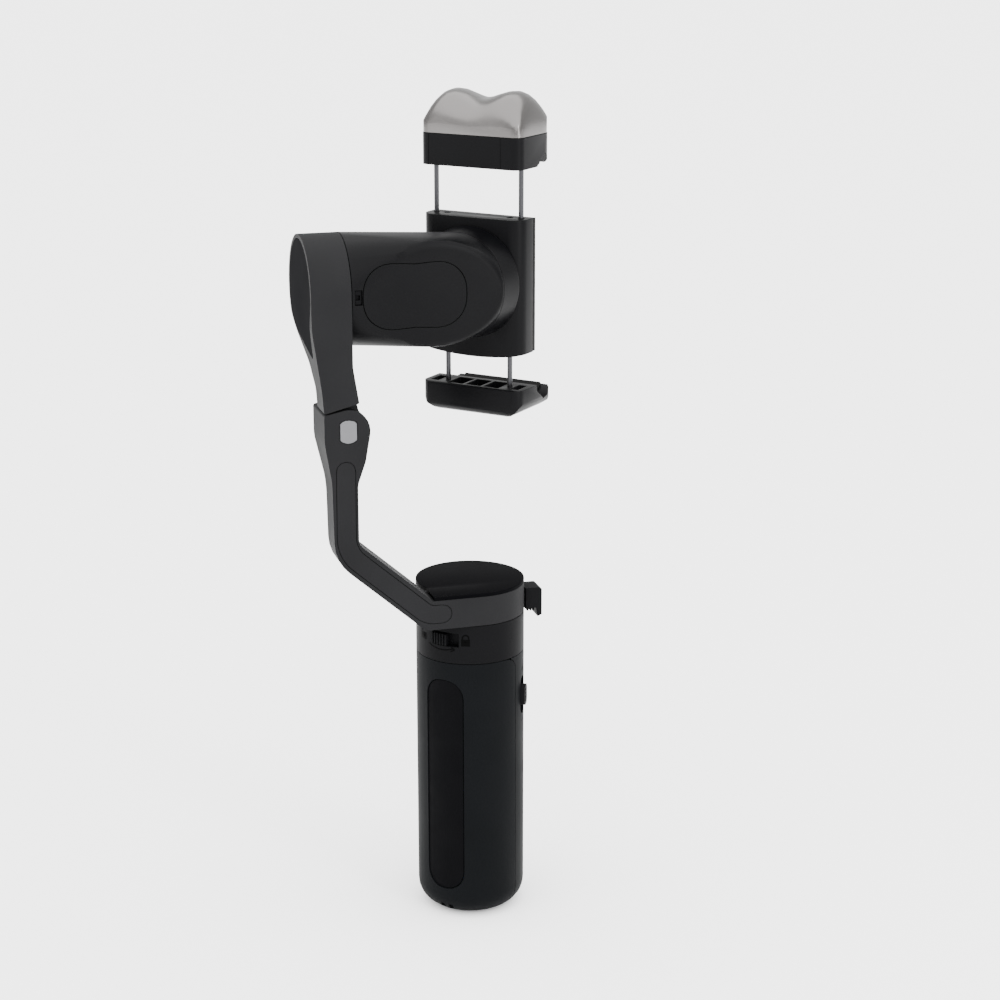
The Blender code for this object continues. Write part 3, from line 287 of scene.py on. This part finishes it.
@dataclass(frozen=True)
class CoatedFinish:
    """A coloured film or a thin moulding: enamelled wire, solder mask, shrink wrap, printed ink, a lamp."""

    name: str
    colour: str
    second: str
    roughness: float
    stripe_mm: float
    glow: float = 0.0
    specular: float = 0.4

    def make(self) -> bpy.types.Material:
        """Builds the node material.

        Returns:
            The finished material.
        """
        made, shader = blank_material(self.name, self.colour)
        tree = made.node_tree
        place = add_node(tree, "TexCoord").outputs["Object"]
        stripes = add_node(tree, "TexWave",
                           {"Scale": WAVE_PERIOD_M / (self.stripe_mm * MM), "Distortion": 1.5,
                            "Detail": 2.0},
                           {"Vector": place}, bands_direction="Z")
        mix = add_node(tree, "MixRGB", {"Color1": linear(self.colour), "Color2": linear(self.second)},
                       {"Fac": stripes.outputs["Fac"]})
        tree.links.new(mix.outputs["Color"], shader.inputs["Base Color"])
        bump = add_node(tree, "Bump", {"Strength": 0.3, "Distance": 0.02 * MM},
                        {"Height": stripes.outputs["Fac"]})
        tree.links.new(bump.outputs["Normal"], shader.inputs["Normal"])
        shader.inputs["Roughness"].default_value = self.roughness
        shader.inputs["Specular IOR Level"].default_value = self.specular
        shader.inputs["Emission Color"].default_value = linear(self.colour)
        shader.inputs["Emission Strength"].default_value = self.glow
        return made


# Grip shell: PC-ABS from a spark-eroded mould, a fine even grain in a faintly bluish black.
GRIP = MouldedPlastic("grip_shell_pc_abs", "040506", "0B0C0E", 0.58, 0.26, 0.022, specular=0.03)
# Arms: glass-filled nylon under matt soft-touch paint, a near-black grey a little paler than the housings.
ARM = MouldedPlastic("arm_matt_painted_nylon", "101011", "1B1B1C", 0.60, 0.16, 0.006, specular=0.05)
# Motor housings, clamp and jaws: ABS from a polished mould, satin and near black.
HOUSING = MouldedPlastic("housing_satin_abs", "030304", "0A0A0B", 0.40, 0.20, 0.005, specular=0.05)
# Collar and controls: the same ABS with a slightly duller, finely grained face.
COLLAR = MouldedPlastic("collar_satin_abs", "050506", "0D0D0E", 0.52, 0.20, 0.008, specular=0.03)
# Pan lid: ABS, the deepest black of the mouldings.
LID = MouldedPlastic("pan_lid_satin_abs", "020203", "070708", 0.60, 0.20, 0.005, specular=0.01)
# End cover of the tilt motor: matt nylon without any gloss, so it stays dark where it is seen edge on.
TEARDROP = MouldedPlastic("arm_end_cover_matt_nylon", "171718", "202021", 0.80, 0.16, 0.006, specular=0.0)
# Grip pad: moulded silicone, dull and slightly darker than the shell round it.
PAD = SoftRubber("grip_pad_silicone", "030304", 0.62, sheen=0.0, specular=0.03)
# Jaw faces and clamp pad: TPU that takes up dust and never shines.
TREAD = SoftRubber("jaw_rubber_tpu", "060606", 0.78)
# Ribs and thumb dots: the same rubber, rubbed a little paler where it is touched.
RIB = SoftRubber("rib_rubber", "131313", 0.8)
# Joystick: a denser rubber, polished a little by the thumb.
THUMB = SoftRubber("joystick_rubber", "0E0E0F", 0.66)
# Jaw cap: die-cast zinc, bead blasted and plated satin, with soft wide highlights.
CAP_METAL = MetalFinish("cap_satin_plated_zinc", "5A5857", 0.25, Lay.BLASTED, spacing_mm=0.12)
# Hinge cap: steel faced on a lathe, whose rings are centred on the pin.
HINGE_METAL = MetalFinish("hinge_cap_faced_steel", "5C5C5E", 0.40, Lay.RINGS,
                          centre_mm=(20.55, 47.75, 190.1), spacing_mm=0.3)
# Rods, pins and shafts: drawn steel with lines along the rods, dark from its oil film.
ROD_STEEL = MetalFinish("rod_drawn_steel", "38383A", 0.30, Lay.DRAWN)
# Motor bells, bearings, yoke, socket and carriages: turned and tumbled steel.
MOTOR_STEEL = MetalFinish("motor_turned_steel", "9A9A9C", 0.30, Lay.BLASTED, spacing_mm=0.2)
# Tripod insert and pinion: turned brass, faintly dulled.
BRASS = MetalFinish("insert_turned_brass", "C9A55C", 0.30, Lay.BLASTED, spacing_mm=0.2)
# Windings: enamelled copper wire, its turns showing as fine stripes.
COPPER = CoatedFinish("winding_enamelled_copper", "B0602E", "8A4218", 0.35, 0.35)
# Board: glass epoxy under green solder mask, darker over its tracks.
BOARD = CoatedFinish("board_solder_mask", "0D4A2A", "0A3A20", 0.35, 2.4)
# Cell: blue PVC shrink wrap with slack, wide ripples.
WRAP = CoatedFinish("cell_shrink_wrap", "2A4D9A", "26468C", 0.38, 14.0)
# Record button: red ABS, coloured through.
RECORD = CoatedFinish("record_button_red_abs", "7A0D0A", "6E0B09", 0.38, 3.0)
# Pad-printed inks: a thin dull film, black round the handle and grey on the mode button.
INK = CoatedFinish("pad_print_dark_ink", "010101", "020202", 0.60, 1.0, specular=0.02)
PALE_INK = CoatedFinish("pad_print_grey_ink", "9C9C9C", "949494", 0.55, 1.0)
# Status lamps: clear windows lit green from behind.
LAMP = CoatedFinish("status_lamp_window", "6FE08A", "66D882", 0.30, 1.0, glow=0.6)

# Rounding of the moulded edges that show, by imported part.
ROUNDED_MM = {"storage_latch": 0.7, "lower_jaw": 0.5, "clamp_block": 0.25, "lock_slider": 0.12}


# ---------------------------------------------------------------- modelling helpers

def start_fresh() -> None:
    """Leaves nothing selected and edit mode closed."""
    if bpy.context.mode != "OBJECT":
        bpy.ops.object.mode_set(mode="OBJECT")
    bpy.ops.object.select_all(action="DESELECT")


def add_bar(size_mm: tuple[float, float, float], at_mm: tuple[float, float, float], edge_mm: float,
            turn_deg: float = 0.0) -> bpy.types.Object:
    """Models a small bar with bevelled edges.

    Args:
        size_mm: Width, depth and height.
        at_mm: Its middle.
        edge_mm: The bevel on every edge.
        turn_deg: Its turn about Y, before it is placed.

    Returns:
        The bar, at the origin with its place in its mesh.
    """
    start_fresh()
    bpy.ops.mesh.primitive_cube_add(size=1.0)
    bar = bpy.context.object
    bar.scale = [s * MM for s in size_mm]
    bpy.ops.object.transform_apply(location=False, rotation=False, scale=True)
    bpy.ops.object.mode_set(mode="EDIT")
    bpy.ops.mesh.select_all(action="SELECT")
    bpy.ops.mesh.bevel(offset=edge_mm * MM, segments=2, affect="EDGES")
    bpy.ops.object.mode_set(mode="OBJECT")
    bar.rotation_euler.y = radians(turn_deg)
    bar.location = [c * MM for c in at_mm]
    bpy.ops.object.transform_apply(location=True, rotation=True, scale=True)
    return bar


def add_arch(radius_mm: float, wire_mm: float, at_mm: tuple[float, float, float]) -> bpy.types.Object:
    """Models the upper half of a ring of round wire that stands in the XZ plane.

    Args:
        radius_mm: The ring's radius to the wire's middle.
        wire_mm: The wire's radius.
        at_mm: The ring's middle, where its two feet stand.

    Returns:
        The arch, at the origin with its place in its mesh.
    """
    start_fresh()
    bpy.ops.mesh.primitive_torus_add(major_radius=radius_mm * MM, minor_radius=wire_mm * MM,
                                     major_segments=32, minor_segments=8, rotation=(pi / 2, 0, 0))
    arch = bpy.context.object
    bpy.ops.object.transform_apply(location=False, rotation=True, scale=True)
    bpy.ops.object.mode_set(mode="EDIT")
    bpy.ops.mesh.select_all(action="SELECT")
    bpy.ops.mesh.bisect(plane_co=(0, 0, 0), plane_no=(0, 0, 1), use_fill=True, clear_inner=True)
    bpy.ops.object.mode_set(mode="OBJECT")
    arch.location = [c * MM for c in at_mm]
    bpy.ops.object.transform_apply(location=True, rotation=False, scale=False)
    return arch


def add_stud(radius_mm: float, height_mm: float, at_mm: tuple[float, float, float], sides: int = 20,
             recess: bool = False) -> bpy.types.Object:
    """Models a low round stud standing along Y, such as a button dot or a screw head.

    Args:
        radius_mm: Its radius.
        height_mm: Its height.
        at_mm: Its middle.
        sides: How many sides the circle has.
        recess: Whether a driver's recess is sunk in the face towards -Y.

    Returns:
        The stud, at the origin with its place in its mesh.
    """
    start_fresh()
    bpy.ops.mesh.primitive_cylinder_add(radius=radius_mm * MM, depth=height_mm * MM, vertices=sides,
                                        rotation=(pi / 2, 0, 0))
    stud = bpy.context.object
    bpy.ops.object.transform_apply(location=False, rotation=True, scale=True)
    bpy.ops.object.mode_set(mode="EDIT")
    bpy.ops.mesh.select_mode(type="FACE")
    bpy.ops.mesh.select_all(action="DESELECT")
    bpy.ops.object.mode_set(mode="OBJECT")
    for face in stud.data.polygons:
        face.select = face.normal.y < -0.9
    bpy.ops.object.mode_set(mode="EDIT")
    bpy.ops.mesh.inset(thickness=radius_mm * STUD_RIM * MM)
    bpy.ops.transform.translate(value=(0, -height_mm * STUD_CROWN * MM, 0))
    if recess:
        sunk = height_mm * RECESS_DEPTH * MM
        bpy.ops.mesh.inset(thickness=radius_mm * RECESS_RIM * MM)
        bpy.ops.mesh.extrude_region_move(TRANSFORM_OT_translate={"value": (0, sunk, 0)})
    bpy.ops.object.mode_set(mode="OBJECT")
    stud.location = [c * MM for c in at_mm]
    bpy.ops.object.transform_apply(location=True, rotation=False, scale=False)
    return stud


def join_pieces(made: list[bpy.types.Object]) -> bpy.types.Object:
    """Joins several modelled bits into one object.

    Args:
        made: The bits; the first becomes the whole.

    Returns:
        The joined object.
    """
    start_fresh()
    for bit in made:
        bit.select_set(True)
    bpy.context.view_layer.objects.active = made[0]
    if len(made) > 1:
        bpy.ops.object.join()
    return made[0]


def wrap_round(piece: bpy.types.Object, angle_deg: float, radius_mm: float) -> None:
    """Bends a flat piece drawn in X and Z, with its depth along Y, on to the handle.

    Args:
        piece: The piece; its X runs anticlockwise seen from above, and -Y is outwards.
        angle_deg: Where X = 0 lands, from +Y towards +X.
        radius_mm: The radius that Y = 0 lands on.
    """
    for vertex in piece.data.vertices:
        reach = radius_mm * MM - vertex.co.y
        turn = radians(angle_deg) - vertex.co.x / (radius_mm * MM)
        vertex.co = (reach * sin(turn), reach * cos(turn), vertex.co.z)


def add_print(width_mm: float, height_mm: float, x_mm: float, z_mm: float,
              turn_deg: float = 0.0) -> bpy.types.Object:
    """Models one flat stroke of print in the XZ plane.

    Args:
        width_mm: Its size along X.
        height_mm: Its size along Z.
        x_mm: Its middle along X.
        z_mm: Its middle along Z.
        turn_deg: Its turn about Y.

    Returns:
        The stroke, as thick as the film of ink.
    """
    return add_bar((width_mm, PRINT_FILM_MM, height_mm), (x_mm, 0, z_mm), PRINT_EDGE_MM, turn_deg)


def settle(piece: bpy.types.Object, name: str, body: str, finish: bpy.types.Material) -> None:
    """Names a finished piece, tidies its shading and hangs it on a body.

    Args:
        piece: The modelled piece.
        name: Its name.
        body: The body that it moves with.
        finish: Its material.
    """
    start_fresh()
    piece.name = name
    piece.data.materials.clear()
    piece.data.materials.append(finish)
    piece.select_set(True)
    bpy.context.view_layer.objects.active = piece
    bpy.ops.object.mode_set(mode="EDIT")
    bpy.ops.mesh.select_all(action="SELECT")
    bpy.ops.mesh.normals_make_consistent(inside=False)
    bpy.ops.object.mode_set(mode="OBJECT")
    bpy.ops.object.shade_smooth_by_angle(angle=SMOOTH_ANGLE)
    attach(piece, body)
    LOG.info("%s rides on %s", name, body)


# ---------------------------------------------------------------- sub-assemblies

@dataclass
class Dressing:
    """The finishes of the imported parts, by part name."""

    finishes: dict[str, bpy.types.Material] = field(default_factory=dict)

    def give(self, finish: bpy.types.Material, *names: str) -> None:
        """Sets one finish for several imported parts."""
        for name in names:
            self.finishes[name] = finish

    def apply(self) -> None:
        """Puts the finishes on and smooths the shading between facets, keeping real edges crisp."""
        for name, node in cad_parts.items():
            node.data.materials.clear()
            node.data.materials.append(self.finishes[name])
            for face in node.data.polygons:
                face.use_smooth = True
                face.material_index = 0
            weld = node.modifiers.new("weld", "WELD")
            weld.merge_threshold = WELD_MM * MM
            if name in ROUNDED_MM:
                edge = node.modifiers.new("edges", "BEVEL")
                edge.width = ROUNDED_MM[name] * MM
                edge.segments = 3
                edge.limit_method = "ANGLE"
                edge.angle_limit = BEVEL_ANGLE
            split = node.modifiers.new("crisp", "EDGE_SPLIT")
            split.split_angle = CRISP_ANGLE
            split.use_edge_sharp = False
            LOG.info("%s dressed in %s", name, self.finishes[name].name)


@dataclass
class CollarMarks:
    """The pan lock's marks: an open padlock, an arrow and a closed padlock, printed round the collar."""

    shoulder_mm: float = 110.0
    body_mm: tuple[float, float] = (3.2, 2.6)
    keyhole_mm: tuple[float, float] = (0.9, 0.8)
    shackle_mm: float = 1.15
    wire_mm: float = 0.26
    leg_mm: tuple[float, float] = (0.5, 0.9)
    shackle_rise_mm: float = 0.45
    leg_rise_mm: float = 0.1
    open_lift_mm: float = 0.7
    arrow_z_mm: float = 106.4
    arrow_reach_mm: float = 5.2
    arrow_step_mm: float = 1.35
    arrow_strokes: int = 8
    arrow_stroke_mm: tuple[float, float] = (1.45, 0.4)
    arrow_sag_per_mm2: float = 0.055 / 1.4
    arrow_turn_deg_per_mm: float = 4.2
    head_stroke_mm: tuple[float, float] = (1.6, 0.45)

    def padlock(self, shut: bool) -> bpy.types.Object:
        """Draws one padlock flat.

        Args:
            shut: Whether the shackle is down in the body.

        Returns:
            The padlock, round X = 0.
        """
        body_z = self.shoulder_mm - self.body_mm[1] / 2
        body = add_print(*self.body_mm, 0, body_z)
        # The keyhole is a second coat of ink, half a film higher than the body.
        keyhole = add_bar((self.keyhole_mm[0], PRINT_FILM_MM, self.keyhole_mm[1]),
                          (0, -PRINT_FILM_MM / 2, body_z), PRINT_EDGE_MM)
        lift = 0.0 if shut else self.open_lift_mm
        arch = add_arch(self.shackle_mm, self.wire_mm, (0, 0, self.shoulder_mm + self.shackle_rise_mm + lift))
        # The round wire is pressed down to about the film's thickness.
        arch.data.transform(Matrix.Scale(PRINT_FILM_MM / self.leg_mm[0], 4, (0, 1, 0)))
        leg_z = self.shoulder_mm + self.leg_rise_mm
        legs = [add_print(*self.leg_mm, -self.shackle_mm, leg_z + lift)]
        if shut:
            legs.append(add_print(*self.leg_mm, self.shackle_mm, leg_z))
        return join_pieces([body, keyhole, arch, *legs])

    def arrow(self) -> bpy.types.Object:
        """Draws the curved arrow from short strokes along an arc, with a two-stroke head."""
        bits = []
        for i in range(self.arrow_strokes):
            x = -self.arrow_reach_mm + i * self.arrow_step_mm
            drop = self.arrow_sag_per_mm2 * (self.arrow_reach_mm ** 2 - x ** 2)
            turn = -self.arrow_turn_deg_per_mm * x
            bits.append(add_print(*self.arrow_stroke_mm, x, self.arrow_z_mm - drop, turn))
        bits.append(add_print(*self.head_stroke_mm, 4.7, self.arrow_z_mm - 0.1, 35))
        bits.append(add_print(*self.head_stroke_mm, 4.5, self.arrow_z_mm - 1.0, -25))
        return join_pieces(bits)

    def build(self, ink: bpy.types.Material) -> None:
        """Prints the three marks on the collar.

        Args:
            ink: The ink's material.
        """
        marks = (("mark_unlocked", self.padlock(False), 28.0), ("mark_arrow", self.arrow(), 2.0),
                 ("mark_locked", self.padlock(True), -25.0))
        for name, mark, angle in marks:
            wrap_round(mark, angle, PRINT_RADIUS_MM)
            settle(mark, name, "handle", ink)


@dataclass
class ZoomMarks:
    """A plus and a minus beside the ends of the zoom slider's slot, and the ridges on its knob."""

    angle_deg: float = 254.3
    middle_mm: float = 83.4
    offset_mm: float = 10.0
    stroke_mm: tuple[float, float] = (2.2, 0.5)
    ridge_mm: tuple[float, float, float] = (2.6, 0.3, 0.4)
    ridge_radius_mm: float = 21.1
    ridge_offsets_mm: tuple[float, ...] = (-2.0, -0.7, 0.7, 2.0)

    def build(self, ink: bpy.types.Material) -> None:
        """Prints both signs and adds the ridges.

        Args:
            ink: The ink's material.
        """
        long, wide = self.stroke_mm
        up, down = self.middle_mm + self.offset_mm, self.middle_mm - self.offset_mm
        plus = join_pieces([add_print(long, wide, 0, up), add_print(wide, long, 0, up)])
        minus = add_print(long, wide, 0, down)
        for name, mark in (("zoom_mark_in", plus), ("zoom_mark_out", minus)):
            wrap_round(mark, self.angle_deg, PRINT_RADIUS_MM)
            settle(mark, name, "handle", ink)
        ridges = [add_bar(self.ridge_mm, (0, -self.ridge_radius_mm, self.middle_mm + z), 0.08)
                  for z in self.ridge_offsets_mm]
        knob = join_pieces(ridges)
        self.turn_to_slot(knob)
        settle(knob, "zoom_ridges", "zoom", ink)

    def turn_to_slot(self, piece: bpy.types.Object) -> None:
        """Turns a piece modelled towards -Y round Z, to face out of the slot.

        Args:
            piece: The piece, unbent.
        """
        turn = radians(self.angle_deg)
        for vertex in piece.data.vertices:
            out, side = -vertex.co.y, vertex.co.x
            vertex.co = (out * sin(turn) - side * cos(turn), out * cos(turn) + side * sin(turn), vertex.co.z)


@dataclass
class PanelDetail:
    """Lamps on the control panel, the mode button's bar and the joystick's thumb dots."""

    face_mm: float = 19.72
    lamp_xs_mm: tuple[float, ...] = (-2.4, 0.0, 2.4)
    lamp_z_mm: float = 78.2
    mode_z_mm: float = 63.0
    mode_face_mm: float = 20.31
    stick_z_mm: float = 86.0
    stick_face_mm: float = 20.75
    dot_ring_mm: float = 3.7

    def build(self, lamp: bpy.types.Material, ink: bpy.types.Material, rubber: bpy.types.Material) -> None:
        """Builds the panel's small pieces.

        Args:
            lamp: The lamp windows' material.
            ink: The pale ink's material.
            rubber: The joystick's rubber.
        """
        row = join_pieces([add_stud(0.45, 0.14, (x, 0, self.lamp_z_mm), 12) for x in self.lamp_xs_mm])
        wrap_round(row, 180, self.face_mm)
        settle(row, "status_lamps", "handle", lamp)
        bar = add_bar((2.6, 0.05, 0.5), (0, -self.mode_face_mm, self.mode_z_mm), 0.015)
        settle(bar, "mode_bar", "mode", ink)
        dots = []
        for quarter in (0, 90, 180, 270):
            x = self.dot_ring_mm * cos(radians(quarter))
            z = self.stick_z_mm + self.dot_ring_mm * sin(radians(quarter))
            dots.append(add_stud(0.42, 0.3, (x, -self.stick_face_mm, z), 12))
        settle(join_pieces(dots), "joystick_dots", "stick", rubber)


@dataclass
class ClampDetail:
    """Ribs on the clamp's pad, seam lines on the upper jaw and two screws in the base."""

    rib_count: int = 9
    rib_step_mm: float = 4.4
    rib_mm: tuple[float, float, float] = (30.0, 0.24, 1.1)
    rib_stand_mm: float = 0.06
    seam_xs_mm: tuple[float, float] = (-12.4, 16.2)
    seam_mm: tuple[float, float] = (0.16, 0.04)
    seam_margin_mm: float = 0.3
    screw_xs_mm: tuple[float, float] = (8.2, -8.2)
    screw_radius_mm: float = 1.2
    screw_height_mm: float = 0.5
    screw_rise_mm: float = 0.36

    def build(self, rubber: bpy.types.Material, line: bpy.types.Material, steel: bpy.types.Material) -> None:
        """Builds the clamp's small pieces and the base's screws.

        Args:
            rubber: The ribs' rubber.
            line: The seam lines' material.
            steel: The screws' steel.
        """
        low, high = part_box("clamp_pad")
        middle = (low.z + high.z) / 2 / MM
        face = low.y / MM - self.rib_stand_mm
        first = -(self.rib_count - 1) / 2
        ribs = [add_bar(self.rib_mm, (0, face, middle + (first + i) * self.rib_step_mm), 0.09)
                for i in range(self.rib_count)]
        settle(join_pieces(ribs), "clamp_pad_ribs", "roll_body", rubber)
        jaw_low, jaw_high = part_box("upper_jaw")
        back = jaw_high.y / MM
        top, bottom = jaw_high.z / MM, jaw_low.z / MM
        seams = [add_bar((*self.seam_mm, top - bottom - self.seam_margin_mm),
                         (x, back + 0.005, (top + bottom) / 2), 0.01) for x in self.seam_xs_mm]
        settle(join_pieces(seams), "upper_jaw_seams", "upper_grip", line)
        screws = []
        for x in self.screw_xs_mm:
            screw = add_stud(self.screw_radius_mm, self.screw_height_mm, (0, 0, 0), recess=True)
            # The head is modelled towards -Y and laid over to face down.
            for vertex in screw.data.vertices:
                vertex.co = (vertex.co.x + x * MM, vertex.co.z, vertex.co.y + self.screw_rise_mm * MM)
            screws.append(screw)
        settle(join_pieces(screws), "base_screws", "handle", steel)


@dataclass
class Studio:
    """A pale floor, soft lights all round and the camera."""

    floor_half_m: float = 30.0
    floor_gap_m: float = 0.0002
    aim: tuple[float, float, float] = (0.0, 0.0, 0.22)
    sky_strength: float = 1.6
    sun_strength: float = 10.0
    sun_spread_deg: float = 120.0
    sun_tilt_deg: tuple[float, float, float] = (-14.0, -10.0, 0.0)
    lens_mm: float = 80.9
    camera_at: tuple[float, float, float] = (-0.38638, 0.67714, 0.38279)
    camera_down_deg: float = 16.19
    camera_turn_deg: float = 208.90

    def light(self, name: str, place: tuple[float, float, float], size: tuple[float, float],
              watts: float) -> None:
        """Hangs one soft box that faces the object.

        Args:
            name: The light's name.
            place: Where it hangs, in metres.
            size: Its width and height.
            watts: Its power.
        """
        data = bpy.data.lights.new(name, "AREA")
        data.shape = "RECTANGLE"
        data.size, data.size_y = size
        data.energy = watts
        box = bpy.data.objects.new(name, data)
        bpy.context.scene.collection.objects.link(box)
        box.location = place
        box.rotation_euler = (Vector(place) - Vector(self.aim)).to_track_quat("Z", "Y").to_euler()

    def lay_floor(self) -> None:
        """Lays the floor just under the handle's foot."""
        start_fresh()
        bpy.ops.mesh.primitive_plane_add(size=2 * self.floor_half_m, location=(0, 0, -self.floor_gap_m))
        floor = bpy.context.object
        floor.name = "studio_floor"
        # Matt white paper: no gloss, and a fine speckle from its fibres.
        paper, shader = blank_material("matt_white_paper", "F4F4F4")
        speckle = add_node(paper.node_tree, "TexNoise", {"Scale": 400.0},
                           {"Vector": add_node(paper.node_tree, "TexCoord").outputs["Object"]})
        bump = add_node(paper.node_tree, "Bump", {"Strength": 0.05, "Distance": 0.0001},
                        {"Height": speckle.outputs["Fac"]})
        paper.node_tree.links.new(bump.outputs["Normal"], shader.inputs["Normal"])
        shader.inputs["Roughness"].default_value = 0.9
        floor.data.materials.append(paper)

    def hang_lights(self) -> None:
        """Sets the even white sky, the wide light overhead and the two soft boxes."""
        world = bpy.data.worlds.new("studio")
        bpy.context.scene.world = world
        world.use_nodes = True
        world.node_tree.nodes["Background"].inputs["Color"].default_value = (1, 1, 1, 1)
        world.node_tree.nodes["Background"].inputs["Strength"].default_value = self.sky_strength
        sky = bpy.data.lights.new("overhead_softlight", "SUN")
        sky.energy = self.sun_strength
        sky.angle = radians(self.sun_spread_deg)
        overhead = bpy.data.objects.new("overhead_softlight", sky)
        bpy.context.scene.collection.objects.link(overhead)
        overhead.rotation_euler = [radians(turn) for turn in self.sun_tilt_deg]
        self.light("key_box", (-0.95, 0.30, 0.50), (0.16, 0.9), 6.0)
        self.light("fill_box", (0.60, 0.90, 0.40), (0.25, 0.8), 1.2)

    def place_camera(self) -> None:
        """Places the camera, which looks a little down at the object."""
        camera_data = bpy.data.cameras.new("view")
        camera_data.lens = self.lens_mm
        camera_data.sensor_width = 36.0
        camera_data.clip_end = 100.0
        camera = bpy.data.objects.new("view", camera_data)
        bpy.context.scene.collection.objects.link(camera)
        camera.location = self.camera_at
        camera.rotation_euler = (radians(90 - self.camera_down_deg), 0.0, radians(self.camera_turn_deg))
        bpy.context.scene.camera = camera

    def build(self) -> None:
        """Sets up the floor, lights, sky and camera."""
        self.lay_floor()
        self.hang_lights()
        self.place_camera()
        LOG.info("studio ready")


def dress_parts() -> None:
    """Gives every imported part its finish."""
    dressing = Dressing()
    dressing.give(GRIP.make(), "rear_shell", "front_shell", "base_cap")
    dressing.give(PAD.make(), "grip_pad")
    dressing.give(COLLAR.make(), "collar", "lock_slider", "storage_latch", "zoom_slider", "side_button",
                  "control_panel", "mode_button", "joystick_base", "inner_frame", "arm_port")
    dressing.give(ARM.make(), "lower_arm", "arm_inlay", "upper_arm")
    dressing.give(LID.make(), "pan_cover")
    dressing.give(TEARDROP.make(), "upper_arm_cover")
    dressing.give(HOUSING.make(), "roll_arm", "roll_arm_cover", "roll_hub", "clamp_block", "clamp_cover",
                  "upper_jaw", "lower_jaw")
    dressing.give(TREAD.make(), "clamp_pad", "upper_jaw_pad", "lower_jaw_pad")
    dressing.give(THUMB.make(), "joystick")
    dressing.give(CAP_METAL.make(), "upper_jaw_cap")
    dressing.give(HINGE_METAL.make(), "hinge_cap")
    dressing.give(ROD_STEEL.make(), "upper_rod_left", "upper_rod_right", "lower_rod_left", "lower_rod_right",
                  "hinge_pin", "pan_shaft", "tilt_shaft", "roll_shaft", "clamp_spring_left",
                  "clamp_spring_right")
    dressing.give(MOTOR_STEEL.make(), "pan_bearing", "tilt_bearing", "roll_bearing", "pan_bell", "tilt_bell",
                  "joystick_yoke", "usb_port", "upper_carriage", "lower_carriage")
    dressing.give(BRASS.make(), "tripod_insert", "clamp_pinion")
    dressing.give(COPPER.make(), "pan_stator", "tilt_stator", "roll_stator")
    dressing.give(BOARD.make(), "control_board")
    dressing.give(WRAP.make(), "battery_cell")
    dressing.give(RECORD.make(), "record_button")
    dressing.apply()


def main() -> None:
    """Dresses the parts, builds the small pieces and sets up the studio."""
    dress_parts()
    ink, pale = INK.make(), PALE_INK.make()
    rubber = RIB.make()
    CollarMarks().build(ink)
    ZoomMarks().build(ink)
    PanelDetail().build(LAMP.make(), pale, rubber)
    ClampDetail().build(rubber, ink, ROD_STEEL.make())
    Studio().build()


if __name__ == "__main__":
    main()
